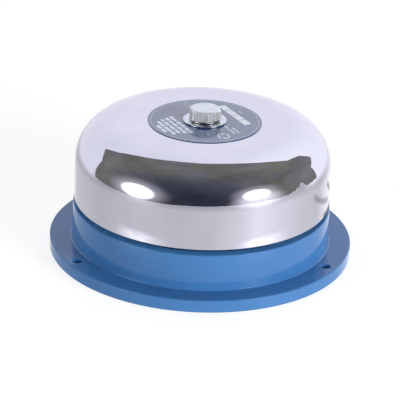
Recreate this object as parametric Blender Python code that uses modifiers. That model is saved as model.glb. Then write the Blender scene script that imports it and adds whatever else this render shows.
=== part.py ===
"""Inside-striking alarm bell, six inch gong.

A moulded base with a flange carries a centre post.  The gong hangs on the post
under a hexagon bolt, and hides a solenoid whose push rod strikes the gong's
inner wall.  Row frame: the origin is the centre of the base's back face, +Z
points from the back through the gong, +X is the direction of the blow.

All driving dimensions are in metres.
"""

import math

import bmesh
import bpy
from mathutils import Matrix, Vector

MM = 0.001
GAP = 0.3 * MM  # running and resting clearance between touching pieces
STACK_GAP = 0.15 * MM  # the same in the stack of thin pieces under the bolt's head

# ---------------------------------------------------------------- driving sizes
FLANGE_R = 89.0 * MM
FLANGE_T = 7.6 * MM
FLANGE_SKIN = 3.0 * MM
SCREW_CIRCLE_R = 82.4 * MM
SCREW_HOLE_R = 2.85 * MM
SCREW_BOSS_R = 5.2 * MM
RIB_T = 1.8 * MM
SCREW_ANGLES = (-150, -30, 90)  # degrees about +Z: two below, one above on the wall

DRUM_FOOT_R = 76.3 * MM
DRUM_TOP_R = 75.5 * MM
DRUM_TOP_Z = 29.0 * MM
DRUM_WALL = 6.0 * MM  # wide enough on top to close the view in under the gong
FLOOR_Z = 12.0 * MM
FLOOR_T = 3.0 * MM
RECESS_R = 70.0 * MM
FLOOR_RIB_IN_R = 17.0 * MM
FLOOR_RIB_LOW_Z = 6.6 * MM
RING_IN_R = 78.5 * MM  # the shallow ring under the flange
RING_OUT_R = 86.0 * MM

GONG_R = 75.0 * MM
GONG_T = 2.0 * MM
GONG_RIM_Z = 31.6 * MM
GONG_SHOULDER_R = 24.94 * MM
GONG_TOP_Z = 79.35 * MM
GONG_HOLE_R = 5.5 * MM

BOSS_R = 13.0 * MM
BOSS_TOP_Z = 18.0 * MM
POST_R = 8.0 * MM
POST_FLANGE_R = 12.0 * MM
POST_FLANGE_T = 3.0 * MM
STUD_R = 4.1 * MM
STUD_HOLE_R = 4.4 * MM
STUD_END_Z = 1.0 * MM
SEAT_T = 1.7 * MM
SEAT_R = 14.0 * MM
POST_WASHER_R = 8.0 * MM
POST_WASHER_T = 1.5 * MM
POST_NUT_FLATS = 13.0 * MM
POST_NUT_T = 4.8 * MM
BOLT_R = 5.0 * MM
BOLT_BORE_R = 5.3 * MM
BOLT_BORE_DEPTH = 16.0 * MM
BOLT_HEAD_FLATS = 17.0 * MM
BOLT_HEAD_T = 5.8 * MM
BOLT_TURN = math.radians(-81.0)  # one corner of the head near the front
WASHER_R = 12.7 * MM
WASHER_T = 0.9 * MM
LOCK_WASHER_R = 9.1 * MM
LOCK_WASHER_T = 0.9 * MM
LOCK_NOTCH_COUNT = 8  # the gaps between its inner teeth
LOCK_NOTCH_R = 7.4 * MM
LOCK_NOTCH_HALF = 0.7 * MM
LABEL_R = 33.2 * MM
LABEL_T = 0.2 * MM

AXIS_Z = 40.0 * MM  # height of the solenoid's axis above the back face
STROKE = 3.0 * MM
SHEET_T = 2.5 * MM
REAR_CHEEK_X = 13.2 * MM
BOBBIN_X = REAR_CHEEK_X + SHEET_T + GAP
BOBBIN_LENGTH = 32.7 * MM
FRONT_CHEEK_X = BOBBIN_X + BOBBIN_LENGTH + GAP
BOBBIN_FLANGE_R = 15.2 * MM
BOBBIN_FLANGE_T = 1.8 * MM
BOBBIN_TUBE_R = 7.6 * MM
WINDING_R = 13.6 * MM
TAPE_T = 0.5 * MM
PLUNGER_R = 6.0 * MM
PLUNGER_BORE_R = PLUNGER_R + GAP
PLUNGER_X = 17.9 * MM
PLUNGER_LENGTH = 20.1 * MM
POLE_X = 42.0 * MM
POLE_NECK_R = 4.0 * MM
ROD_R = 1.8 * MM
ROD_BORE_R = ROD_R + GAP
ROD_END_X = 68.0 * MM
HEAD_R = 4.5 * MM
HEAD_X = 66.0 * MM
HEAD_LENGTH = GONG_R - GONG_T - STROKE - 0.4 * MM - HEAD_X
GUIDE_X = 61.0 * MM
BUSH_R = 3.2 * MM
COLLAR_X = 52.0 * MM
COLLAR_T = 1.2 * MM
COLLAR_R = 4.2 * MM
BUSH_LIP_T = 0.8 * MM
BUSH_LIP_R = BUSH_R + 1.6 * MM
GUIDE_SHEET_T = 2.0 * MM
YOKE_WIDTH = 24.0 * MM
YOKE_PLATE_Z = AXIS_Z - BOBBIN_FLANGE_R - 0.6 * MM - SHEET_T  # underside of its plate
YOKE_BOSS_X = (22.0 * MM, 42.0 * MM)
YOKE_BOSS_Y = 16.5 * MM
GUIDE_BOSS_X = 57.0 * MM
SMALL_BOSS_R = 4.0 * MM
SMALL_SCREW_R = 1.5 * MM
SMALL_SCREW_LENGTH = 8.0 * MM
SMALL_HEAD_R = 2.9 * MM
SLOT_WIDTH = 0.8 * MM
EAR_HALF = 4.5 * MM  # half width of the ears that the small screws hold
EAR_HOLE_R = 1.9 * MM
CHEEK_TOP_Z = AXIS_Z + 13.0 * MM
GUIDE_HALF = 8.0 * MM
GUIDE_TOP_Z = AXIS_Z + 8.0 * MM
INSET = 0.01 * MM  # keeps the faces of joined shapes from lying in one plane

BLOCK_CENTRE = Vector((-40.0, 0.0, 0.0)) * MM
BLOCK_SIZE = Vector((20.0, 26.0, 14.0)) * MM
BLOCK_EAR_Y = 17.5 * MM
BLOCK_EAR_T = 3.0 * MM
BLOCK_BOSS_T = 4.0 * MM
CHANNEL_Y = 6.4 * MM
CHANNEL_WIDTH = 8.8 * MM
CHANNEL_DEPTH = 8.0 * MM
CLAMP_SIZE = Vector((17.0, 7.0, 3.0)) * MM
CLAMP_SCREW_X = 4.6 * MM
CLAMP_SCREW_LENGTH = 2.2 * MM

GROMMET_PLACE = Vector((-18.0, -42.0, 0.0)) * MM
GROMMET_HOLE_R = 7.0 * MM
GROMMET_BORE_R = 3.6 * MM
GROMMET_LIP_R = GROMMET_HOLE_R + 2.4 * MM
GROMMET_LIP_T = 2.2 * MM
GROMMET_LIP_EDGE = 1.2 * MM

WIRE_R = 0.9 * MM
DIODE_R = 2.7 * MM
DIODE_HALF = 4.6 * MM  # half the length of its body
DIODE_LEAD_R = 0.45 * MM
DIODE_REACH = 8.0 * MM  # from its middle to the end of a lead
DIODE_PLACE = Vector((-12.0, 24.0, 19.5)) * MM

ROUND = 48  # sides of the large turned pieces
SMALL = 24  # sides of the inner turned pieces
TINY = 16  # sides of screws
SMOOTH_BELOW = math.radians(25)

# ---------------------------------------------------------------- scene set-up
for leftover in list(bpy.data.objects):
    bpy.data.objects.remove(leftover)

BELL = bpy.data.collections.new("fire_alarm_bell")
CUTTERS = bpy.data.collections.new("cutters")
bpy.context.scene.collection.children.link(BELL)
bpy.context.scene.collection.children.link(CUTTERS)


def material(name, colour, roughness, metallic=0.0):
    made = bpy.data.materials.new(name)
    made.use_nodes = True
    shader = made.node_tree.nodes["Principled BSDF"]
    shader.inputs["Base Color"].default_value = (*colour, 1.0)
    shader.inputs["Roughness"].default_value = roughness
    shader.inputs["Metallic"].default_value = metallic
    return made


BLUE = material("blue_gloss", (0.06, 0.20, 0.50), 0.25)
CHROME = material("chrome", (0.85, 0.85, 0.88), 0.06, 1.0)
STEEL = material("zinc_steel", (0.62, 0.63, 0.64), 0.35, 1.0)
IRON = material("soft_iron", (0.35, 0.35, 0.36), 0.45, 1.0)
BRASS = material("brass", (0.72, 0.52, 0.22), 0.3, 1.0)
LABEL = material("label_print", (0.05, 0.08, 0.20), 0.2)
RUBBER = material("black_rubber", (0.02, 0.02, 0.02), 0.8)
NYLON = material("white_nylon", (0.80, 0.79, 0.74), 0.45)
BLACK = material("black_plastic", (0.03, 0.03, 0.03), 0.4)
COPPER = material("enamelled_copper", (0.50, 0.18, 0.06), 0.35, 1.0)
TAPE = material("coil_tape", (0.75, 0.58, 0.10), 0.4)
RED_WIRE = material("red_insulation", (0.45, 0.03, 0.03), 0.45)
SPRING = material("spring_steel", (0.55, 0.56, 0.58), 0.25, 1.0)


# ---------------------------------------------------------------- shared tools
def keep(obj, name, mat=None, cutter=False):
    """Names an object, files it in its collection and gives it its material."""
    obj.name = name
    for owner in list(obj.users_collection):
        owner.objects.unlink(obj)
    (CUTTERS if cutter else BELL).objects.link(obj)
    if cutter:
        obj.hide_render = True
        obj.display_type = "WIRE"
    if mat is not None:
        obj.data.materials.clear()
        obj.data.materials.append(mat)
    return obj


def shade(mesh):
    """Shades round faces smooth, and keeps edges sharp where faces turn more."""
    mesh.shade_smooth()
    mesh.set_sharp_from_angle(angle=SMOOTH_BELOW)


def arc(centre_r, centre_z, radius, start, end, steps):
    """Points of a profile's arc, with angles in degrees from +r towards +z."""
    angles = (start + (end - start) * i / steps for i in range(steps + 1))
    return [
        (
            centre_r + radius * math.cos(math.radians(a)),
            centre_z + radius * math.sin(math.radians(a)),
        )
        for a in angles
    ]


def turned(name, profile, mat=None, steps=ROUND, closed=True, cutter=False):
    """A profile of (radius, height) turned about Z.

    A closed profile is a ring.  An open one starts and ends on the axis.
    """
    mesh = bpy.data.meshes.new(name)
    points = [(r, 0.0, z) for r, z in profile]
    edges = [(i, i + 1) for i in range(len(points) - 1)]
    if closed:
        edges.append((len(points) - 1, 0))
    mesh.from_pydata(points, edges, [])
    obj = keep(bpy.data.objects.new(name, mesh), name, mat, cutter)
    screw = obj.modifiers.new("turn", "SCREW")
    screw.steps = steps
    screw.render_steps = steps
    screw.use_merge_vertices = True
    screw.merge_threshold = 1e-6
    graph = bpy.context.evaluated_depsgraph_get()
    obj.data = bpy.data.meshes.new_from_object(obj.evaluated_get(graph))
    obj.modifiers.remove(screw)
    bpy.data.meshes.remove(mesh)
    shade(obj.data)
    return obj


def along_x(obj, x, y=0.0, z=AXIS_Z):
    """Lays a piece turned about Z along +X, its height 0 at that place."""
    obj.rotation_euler = (0.0, math.radians(90), 0.0)
    obj.location = (x, y, z)
    return obj


def box(name, low, high, mat=None, cutter=False):
    """A box from its lowest corner to its highest one."""
    low, high = Vector(low), Vector(high)
    mesh = bpy.data.meshes.new(name)
    shape = bmesh.new()
    bmesh.ops.create_cube(shape, size=1.0)
    bmesh.ops.scale(shape, vec=high - low, verts=shape.verts)
    bmesh.ops.translate(shape, vec=(low + high) / 2, verts=shape.verts)
    shape.to_mesh(mesh)
    shape.free()
    return keep(bpy.data.objects.new(name, mesh), name, mat, cutter)


def rod(name, radius, low, high, steps=TINY, mat=None, cutter=False, turn=0.0):
    """A cylinder, or a prism of few sides, upright from one point to another."""
    low, high = Vector(low), Vector(high)
    mesh = bpy.data.meshes.new(name)
    shape = bmesh.new()
    bmesh.ops.create_cone(
        shape,
        cap_ends=True,
        segments=steps,
        radius1=radius,
        radius2=radius,
        depth=(high - low).length,
    )
    aim = (high - low).to_track_quat("Z", "Y").to_matrix().to_4x4()
    spin = Matrix.Rotation(turn, 4, "Z")
    place = Matrix.Translation((low + high) / 2)
    bmesh.ops.transform(shape, matrix=place @ aim @ spin, verts=shape.verts)
    shape.to_mesh(mesh)
    shape.free()
    shade(mesh)
    return keep(bpy.data.objects.new(name, mesh), name, mat, cutter)


def combine(obj, other, operation):
    """Cuts or joins another object, which becomes a helper."""
    if other.name not in CUTTERS.objects:
        keep(other, other.name, None, cutter=True)
    step = obj.modifiers.new(f"{operation.lower()}_{other.name}", "BOOLEAN")
    step.operation = operation
    step.solver = "EXACT"
    step.object = other
    return obj


def cut(obj, *others):
    for other in others:
        combine(obj, other, "DIFFERENCE")
    return obj


def join(obj, *others):
    for other in others:
        combine(obj, other, "UNION")
    return obj


def weigh_normals():
    """Lets the large faces of cut and joined pieces set the shading, so that
    flat faces look flat right up to a hole or a boss."""
    for piece in BELL.objects:
        if piece.modifiers:
            weighting = piece.modifiers.new("flat_faces", "WEIGHTED_NORMAL")
            weighting.keep_sharp = True
            weighting.weight = 100


def on_circle(radius, degrees, z=0.0):
    turn = math.radians(degrees)
    return Vector((radius * math.cos(turn), radius * math.sin(turn), z))


def pan_screw(name, place, head_r, length, slot_turn):
    """A slotted pan head screw that points down.  Place is the centre under
    its head."""
    head_t = head_r * 0.66
    crown = head_t * 0.45
    point = SMALL_SCREW_R * 0.6
    profile = [(0.0, head_t)]
    profile += arc(head_r - crown, head_t - crown, crown, 90, 0, 2)
    profile += [(head_r, 0.0), (SMALL_SCREW_R, 0.0), (SMALL_SCREW_R, point - length)]
    profile += [(SMALL_SCREW_R - point, -length), (0.0, -length)]
    screw = turned(name, profile, STEEL, steps=TINY, closed=False)
    screw.location = place
    low = (-head_r - MM, -SLOT_WIDTH / 2, head_t / 2)
    high = (head_r + MM, SLOT_WIDTH / 2, head_t + MM)
    slot = box(f"{name}_slot", low, high, cutter=True)
    slot.parent = screw
    slot.rotation_euler = (0.0, 0.0, math.radians(slot_turn))
    cut(screw, slot)


def smooth_route(points, count):
    """Evenly numbered points of a smooth curve through the route's own."""
    nodes = [Vector(p) * MM for p in points]
    nodes = [2 * nodes[0] - nodes[1], *nodes, 2 * nodes[-1] - nodes[-2]]
    spans = len(nodes) - 3
    route = []
    for i in range(count):
        at = spans * i / (count - 1)
        k = min(int(at), spans - 1)
        t = at - k
        a, b, c, d = nodes[k : k + 4]
        route.append(
            0.5
            * (
                2 * b
                + (c - a) * t
                + (2 * a - 5 * b + 4 * c - d) * t * t
                + (3 * b - a - 3 * c + d) * t * t * t
            )
        )
    return route


def wire(name, points, radius, mat, resolution=2):
    """A tube along a list of points, with filled ends."""
    curve = bpy.data.curves.new(name, "CURVE")
    curve.dimensions = "3D"
    curve.bevel_depth = radius
    curve.bevel_resolution = resolution
    curve.use_fill_caps = True
    line = curve.splines.new("POLY")
    line.points.add(len(points) - 1)
    for point, place in zip(line.points, points):
        point.co = (*place, 1.0)
    return keep(bpy.data.objects.new(name, curve), name, mat)


# ---------------------------------------------------------------- base
def base_profile():
    """The base's section, from the stud hole outwards, down and back under."""
    wall_in = DRUM_TOP_R - DRUM_WALL
    edge = 0.6 * MM
    points = [(STUD_HOLE_R, BOSS_TOP_Z), (BOSS_R - edge, BOSS_TOP_Z)]
    points += [(BOSS_R, BOSS_TOP_Z - edge), (BOSS_R + 0.4 * MM, FLOOR_Z)]
    points += arc(wall_in - 2 * MM, FLOOR_Z + 2 * MM, 2 * MM, -90, 0, 2)
    points += [(wall_in, DRUM_TOP_Z - edge), (wall_in + edge, DRUM_TOP_Z)]
    points += arc(DRUM_TOP_R - edge, DRUM_TOP_Z - edge, edge, 90, 0, 2)
    points += [(DRUM_FOOT_R, FLANGE_T + edge), (DRUM_FOOT_R + edge, FLANGE_T)]
    points += arc(FLANGE_R - edge, FLANGE_T - edge, edge, 90, 0, 2)
    points += [(FLANGE_R, edge), (FLANGE_R - edge, 0.0), (RING_OUT_R, 0.0)]
    points += [(RING_OUT_R, FLANGE_T - FLANGE_SKIN)]
    points += [(RING_IN_R, FLANGE_T - FLANGE_SKIN), (RING_IN_R, 0.0)]
    points += [(RECESS_R, 0.0), (RECESS_R, FLOOR_Z - FLOOR_T)]
    points += [(STUD_HOLE_R, FLOOR_Z - FLOOR_T)]
    return points


def make_base():
    base = turned("base_housing", base_profile(), BLUE)
    buried = 1.0 * MM  # how far a joined shape reaches into the one it grows from
    for i, angle in enumerate(SCREW_ANGLES):
        foot = on_circle(SCREW_CIRCLE_R, angle)
        top = foot + Vector((0, 0, FLANGE_T - buried))
        join(base, rod(f"screw_boss_{i}", SCREW_BOSS_R, foot, top))
    spokes = (
        # first angle, count, inner and outer radius, bottom and top height
        ("flange_rib", 0, 6, RING_IN_R - buried, RING_OUT_R + buried, buried, FLANGE_T - buried),
        ("floor_rib", 30, 6, FLOOR_RIB_IN_R, RECESS_R + buried, FLOOR_RIB_LOW_Z, FLOOR_Z - buried),
    )
    for kind, first, count, inner, outer, low, high in spokes:
        for i in range(count):
            rib = box(f"{kind}_{i}", (inner, -RIB_T / 2, low), (outer, RIB_T / 2, high))
            rib.rotation_euler = (0.0, 0.0, math.radians(first + 360 / count * i))
            join(base, rib)
    for name, place, top, _ in inner_bosses():
        foot = place + Vector((0, 0, FLOOR_Z - buried))
        head = place + Vector((0, 0, top))
        join(base, rod(name, SMALL_BOSS_R, foot, head, steps=TINY))
    for name, place, top, under_head in inner_bosses():
        foot = place + Vector((0, 0, under_head - SMALL_SCREW_LENGTH - GAP))
        head = place + Vector((0, 0, top + 1.0 * MM))
        cut(base, rod(f"{name}_hole", SMALL_SCREW_R + GAP, foot, head, 12, cutter=True))
    for i, angle in enumerate(SCREW_ANGLES):
        foot = on_circle(SCREW_CIRCLE_R, angle, -1.0 * MM)
        head = on_circle(SCREW_CIRCLE_R, angle, FLANGE_T + 1.0 * MM)
        cut(base, rod(f"screw_hole_{i}", SCREW_HOLE_R, foot, head, 20, cutter=True))
    entry_low = GROMMET_PLACE + Vector((0, 0, FLOOR_Z - 2 * FLOOR_T))
    entry_high = GROMMET_PLACE + Vector((0, 0, FLOOR_Z + FLOOR_T))
    cut(base, rod("wire_entry", GROMMET_HOLE_R, entry_low, entry_high, SMALL, cutter=True))
    return base


def inner_bosses():
    """Name, place, top height and the height under its screw's head of each
    screw boss moulded on the floor."""
    under_yoke = YOKE_PLATE_Z - GAP
    yoke_head = YOKE_PLATE_Z + SHEET_T + GAP
    guide_head = YOKE_PLATE_Z + GUIDE_SHEET_T + GAP
    found = []
    for i, x in enumerate(YOKE_BOSS_X):
        place = Vector((x, yoke_side(i) * YOKE_BOSS_Y, 0.0))
        found.append((f"yoke_boss_{i}", place, under_yoke, yoke_head))
    guide_place = Vector((GUIDE_BOSS_X, 0.0, 0.0))
    found.append(("guide_boss", guide_place, under_yoke, guide_head))
    for i, side in enumerate((-1, 1)):
        place = BLOCK_CENTRE + Vector((0.0, side * BLOCK_EAR_Y, 0.0))
        top = FLOOR_Z + BLOCK_BOSS_T
        found.append((f"block_boss_{i}", place, top, top + BLOCK_EAR_T + 2 * GAP))
    return found


def yoke_side(number):
    """The yoke's two ears stand out on opposite sides."""
    return 1 if number == 0 else -1


def make_grommet():
    floor_low, floor_high = FLOOR_Z - FLOOR_T, FLOOR_Z
    neck = GROMMET_HOLE_R - GAP
    lip, edge = GROMMET_LIP_R, GROMMET_LIP_EDGE
    profile = [
        (GROMMET_BORE_R, floor_high + GROMMET_LIP_T),
        (lip - edge, floor_high + GROMMET_LIP_T),
        (lip, floor_high + edge),
        (lip, floor_high + GAP),
        (neck, floor_high + GAP),
        (neck, floor_low - GAP),
        (lip, floor_low - GAP),
        (lip, floor_low - edge),
        (lip - edge, floor_low - GROMMET_LIP_T),
        (GROMMET_BORE_R, floor_low - GROMMET_LIP_T),
    ]
    turned("cable_grommet", profile, RUBBER, steps=SMALL).location = GROMMET_PLACE


# ---------------------------------------------------------------- gong and post
def make_gong():
    shoulder_r = GONG_R - GONG_SHOULDER_R
    shoulder_z = GONG_TOP_Z - GONG_SHOULDER_R
    edge = GONG_T / 2
    points = [(GONG_HOLE_R, GONG_TOP_Z)]
    points += arc(shoulder_r, shoulder_z, GONG_SHOULDER_R, 90, 0, 12)
    points += arc(GONG_R - edge, GONG_RIM_Z + edge, edge, 0, -180, 4)
    points += arc(shoulder_r, shoulder_z, GONG_SHOULDER_R - GONG_T, 0, 90, 8)
    points += [(GONG_HOLE_R, GONG_TOP_Z - GONG_T)]
    turned("gong", points, CHROME)


def make_post():
    top = GONG_TOP_Z - GONG_T - GAP - SEAT_T - GAP
    low = BOSS_TOP_Z + GAP
    edge = 0.8 * MM
    profile = [
        (0.0, top - BOLT_BORE_DEPTH),
        (BOLT_BORE_R, top - BOLT_BORE_DEPTH),
        (BOLT_BORE_R, top),
        (POST_R - edge, top),
        (POST_R, top - edge),
        (POST_R, low + POST_FLANGE_T),
        (POST_FLANGE_R - edge, low + POST_FLANGE_T),
        (POST_FLANGE_R, low + POST_FLANGE_T - edge),
        (POST_FLANGE_R, low),
        (STUD_R, low),
        (STUD_R, STUD_END_Z + edge),
        (STUD_R - edge, STUD_END_Z),
        (0.0, STUD_END_Z),
    ]
    turned("centre_post", profile, STEEL, steps=SMALL, closed=False)

    seat = top + GAP
    flat_ring("gong_seat_washer", BOLT_R + GAP, SEAT_R, seat, SEAT_T, RUBBER)

    washer_z = FLOOR_Z - FLOOR_T - GAP - POST_WASHER_T
    flat_ring("post_washer", STUD_R + GAP, POST_WASHER_R, washer_z, POST_WASHER_T, STEEL)
    nut_z = washer_z - GAP - POST_NUT_T
    hex_nut("post_nut", nut_z, POST_NUT_T, POST_NUT_FLATS, STUD_R + GAP)


def flat_ring(name, inner, outer, z, thickness, mat):
    """A washer that lies flat at that height, its outer edges broken."""
    edge = min(0.3 * MM, thickness / 3)
    profile = [
        (inner, z + thickness),
        (outer - edge, z + thickness),
        (outer, z + thickness - edge),
        (outer, z + edge),
        (outer - edge, z),
        (inner, z),
    ]
    return turned(name, profile, mat, steps=SMALL)


def hex_prism(name, z, thickness, flats, mat, turn=0.0, both_sides=False):
    """A hexagon with its corners broken on top, or on both sides, by a cone."""
    corner = flats / math.sqrt(3)
    hexagon = rod(name, corner, (0, 0, z), (0, 0, z + thickness), 6, mat, turn=turn)
    cone_r = flats / 2 * 0.94
    reach = corner * 1.3
    rise = (reach - cone_r) * math.tan(math.radians(30))
    low_rise = rise if both_sides else 0.0
    cone = turned(
        f"{name}_cone",
        [
            (0.0, z + thickness + MM),
            (cone_r, z + thickness + MM),
            (cone_r, z + thickness),
            (reach, z + thickness - rise),
            (reach, z + low_rise),
            (cone_r if both_sides else reach, z),
            (cone_r if both_sides else reach, z - MM),
            (0.0, z - MM),
        ],
        steps=36,
        closed=False,
        cutter=True,
    )
    return combine(hexagon, cone, "INTERSECT")


def hex_nut(name, z, thickness, flats, bore):
    nut = hex_prism(name, z, thickness, flats, STEEL, both_sides=True)
    low, high = (0, 0, z - MM), (0, 0, z + thickness + MM)
    return cut(nut, rod(f"{name}_bore", bore, low, high, 20, cutter=True))


def make_gong_fixings():
    label_z = GONG_TOP_Z + STACK_GAP
    hole = BOLT_R + 1.0 * MM
    profile = [
        (hole, label_z + LABEL_T),
        (LABEL_R, label_z + LABEL_T),
        (LABEL_R, label_z),
        (hole, label_z),
    ]
    turned("label_disc", profile, LABEL)

    washer_z = label_z + LABEL_T + STACK_GAP
    flat_ring("gong_washer", BOLT_R + GAP, WASHER_R, washer_z, WASHER_T, CHROME)

    lock_z = washer_z + WASHER_T + STACK_GAP
    lock = flat_ring("lock_washer", BOLT_R + GAP, LOCK_WASHER_R, lock_z, LOCK_WASHER_T, STEEL)
    for i in range(LOCK_NOTCH_COUNT):
        notch = box(
            f"lock_notch_{i}",
            (BOLT_R - MM, -LOCK_NOTCH_HALF, lock_z - MM),
            (LOCK_NOTCH_R, LOCK_NOTCH_HALF, lock_z + LOCK_WASHER_T + MM),
            cutter=True,
        )
        notch.rotation_euler = (0.0, 0.0, 2 * math.pi * i / LOCK_NOTCH_COUNT)
        cut(lock, notch)

    head_z = lock_z + LOCK_WASHER_T + STACK_GAP
    bolt = hex_prism("gong_bolt", head_z, BOLT_HEAD_T, BOLT_HEAD_FLATS, CHROME, BOLT_TURN)
    shank_end = GONG_TOP_Z - GONG_T - SEAT_T - 2 * GAP - BOLT_BORE_DEPTH + 1.5 * MM
    tip = 0.9 * MM
    profile = [
        (0.0, head_z + BOLT_HEAD_T / 2),
        (BOLT_R, head_z + BOLT_HEAD_T / 2),
        (BOLT_R, shank_end + tip),
        (BOLT_R - tip, shank_end),
        (0.0, shank_end),
    ]
    join(bolt, turned("gong_bolt_shank", profile, steps=20, closed=False))


# ---------------------------------------------------------------- solenoid
def make_yoke():
    """A U of bent sheet: a plate under the coil, and a cheek at each end."""
    half = YOKE_WIDTH / 2
    low = YOKE_PLATE_Z
    yoke = box(
        "solenoid_yoke",
        (REAR_CHEEK_X, -half, low),
        (FRONT_CHEEK_X + SHEET_T, half, low + SHEET_T),
        STEEL,
    )
    for name, x in (("rear_cheek", REAR_CHEEK_X), ("front_cheek", FRONT_CHEEK_X)):
        cheek = box(
            name,
            (x, -half + INSET, low + INSET),
            (x + SHEET_T, half - INSET, CHEEK_TOP_Z),
        )
        join(yoke, cheek)
    for i, x in enumerate(YOKE_BOSS_X):
        side = yoke_side(i)
        inner = side * (half - 2 * MM)
        outer = side * (YOKE_BOSS_Y + EAR_HALF)
        ear = box(
            f"yoke_ear_{i}",
            (x - EAR_HALF, min(inner, outer), low),
            (x + EAR_HALF, max(inner, outer), low + SHEET_T - INSET),
        )
        join(yoke, ear)
        hole_low = (x, side * YOKE_BOSS_Y, low - MM)
        hole_high = (x, side * YOKE_BOSS_Y, low + SHEET_T + MM)
        hole = rod(f"yoke_ear_hole_{i}", EAR_HOLE_R, hole_low, hole_high, TINY, cutter=True)
        cut(yoke, hole)
    neck_low = (FRONT_CHEEK_X - MM, 0, AXIS_Z)
    neck_high = (FRONT_CHEEK_X + SHEET_T + MM, 0, AXIS_Z)
    cut(yoke, rod("neck_hole", POLE_NECK_R + GAP, neck_low, neck_high, 24, cutter=True))
    for i, x in enumerate(YOKE_BOSS_X):
        side = yoke_side(i)
        place = Vector((x, side * YOKE_BOSS_Y, low + SHEET_T + GAP))
        pan_screw(f"yoke_screw_{i + 1}", place, SMALL_HEAD_R, SMALL_SCREW_LENGTH, 35 + 60 * i)


def make_coil():
    tube_end = BOBBIN_LENGTH
    flange = BOBBIN_FLANGE_T
    edge = 0.4 * MM
    profile = [
        (PLUNGER_BORE_R, tube_end),
        (BOBBIN_FLANGE_R - edge, tube_end),
        (BOBBIN_FLANGE_R, tube_end - edge),
        (BOBBIN_FLANGE_R, tube_end - flange),
        (BOBBIN_TUBE_R, tube_end - flange),
        (BOBBIN_TUBE_R, flange),
        (BOBBIN_FLANGE_R, flange),
        (BOBBIN_FLANGE_R, edge),
        (BOBBIN_FLANGE_R - edge, 0.0),
        (PLUNGER_BORE_R, 0.0),
    ]
    along_x(turned("bobbin", profile, NYLON, steps=SMALL), BOBBIN_X)

    start = flange + GAP
    end = tube_end - flange - GAP
    tape_in = WINDING_R + GAP
    rings = (
        ("coil_winding", BOBBIN_TUBE_R + GAP, WINDING_R, COPPER),
        ("coil_tape", tape_in, tape_in + TAPE_T, TAPE),
    )
    for name, inner, outer, mat in rings:
        profile = [(inner, end), (outer, end), (outer, start), (inner, start)]
        along_x(turned(name, profile, mat, steps=SMALL), BOBBIN_X)


def make_pole_and_buffer():
    edge = 0.5 * MM
    length = FRONT_CHEEK_X + SHEET_T - POLE_X
    shoulder = FRONT_CHEEK_X - GAP - POLE_X
    profile = [
        (ROD_BORE_R, length),
        (POLE_NECK_R, length),
        (POLE_NECK_R, shoulder),
        (PLUNGER_R, shoulder),
        (PLUNGER_R, edge),
        (PLUNGER_R - edge, 0.0),
        (ROD_BORE_R, 0.0),
    ]
    along_x(turned("pole_piece", profile, IRON, steps=SMALL), POLE_X)

    buffer_x = REAR_CHEEK_X + SHEET_T + GAP
    buffer_r = PLUNGER_R - 0.8 * MM
    thickness = PLUNGER_X - GAP - buffer_x
    profile = [
        (0.0, thickness),
        (buffer_r, thickness),
        (buffer_r, 0.0),
        (0.0, 0.0),
    ]
    disc = turned("rear_buffer", profile, RUBBER, steps=SMALL, closed=False)
    along_x(disc, buffer_x)


def make_striker(anchor):
    """The plunger, rod, collar and head, which slide together along X."""
    edge = 0.5 * MM
    bore_depth = 6.0 * MM
    profile = [
        (0.0, PLUNGER_LENGTH - bore_depth),
        (ROD_BORE_R, PLUNGER_LENGTH - bore_depth),
        (ROD_BORE_R, PLUNGER_LENGTH),
        (PLUNGER_R - edge, PLUNGER_LENGTH),
        (PLUNGER_R, PLUNGER_LENGTH - edge),
        (PLUNGER_R, edge),
        (PLUNGER_R - edge, 0.0),
        (0.0, 0.0),
    ]
    plunger = turned("plunger", profile, IRON, steps=SMALL, closed=False)

    rod_x = PLUNGER_X + PLUNGER_LENGTH - bore_depth + GAP
    rod_length = ROD_END_X - rod_x
    tip = 0.3 * MM
    profile = [
        (0.0, rod_length),
        (ROD_R - tip, rod_length),
        (ROD_R, rod_length - tip),
        (ROD_R, tip),
        (ROD_R - tip, 0.0),
        (0.0, 0.0),
    ]
    push_rod = turned("push_rod", profile, BRASS, steps=TINY, closed=False)

    profile = [
        (ROD_BORE_R, COLLAR_T),
        (COLLAR_R, COLLAR_T),
        (COLLAR_R, 0.0),
        (ROD_BORE_R, 0.0),
    ]
    collar = turned("rod_collar", profile, STEEL, steps=TINY)

    nose = 2.4 * MM
    rod_seat = ROD_END_X + GAP - HEAD_X
    profile = [(0.0, HEAD_LENGTH)]
    profile += [
        (HEAD_R * math.sin(math.radians(a)), HEAD_LENGTH - nose * (1 - math.cos(math.radians(a))))
        for a in (18, 36, 54, 72, 90)
    ]
    profile += [
        (HEAD_R, edge),
        (HEAD_R - edge, 0.0),
        (ROD_BORE_R, 0.0),
        (ROD_BORE_R, rod_seat),
        (0.0, rod_seat),
    ]
    head = turned("striker_head", profile, NYLON, steps=24, closed=False)

    places = (
        (plunger, PLUNGER_X),
        (push_rod, rod_x),
        (collar, COLLAR_X),
        (head, HEAD_X),
    )
    for piece, x in places:
        along_x(piece, x - anchor.location.x, 0.0, 0.0)
        piece.parent = anchor


def make_return_spring():
    """A compression spring between the collar and the guide bush."""
    wire_r = 0.3 * MM
    mean_r = 3.2 * MM
    start = COLLAR_X + COLLAR_T + GAP + wire_r
    end = GUIDE_X - BUSH_LIP_T - GAP - wire_r
    turns, per_turn = 4.0, 12
    count = int(turns * per_turn)
    points = []
    for i in range(count + 1):
        share = i / count
        turn = 2 * math.pi * turns * share
        # the end turns lie almost flat, so that the spring seats squarely
        along = share - math.sin(2 * math.pi * share) / (2 * math.pi) * 0.7
        points.append(
            Vector(
                (
                    start + (end - start) * along,
                    mean_r * math.cos(turn),
                    AXIS_Z + mean_r * math.sin(turn),
                )
            )
        )
    wire("return_spring", points, wire_r, SPRING, resolution=1)


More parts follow.
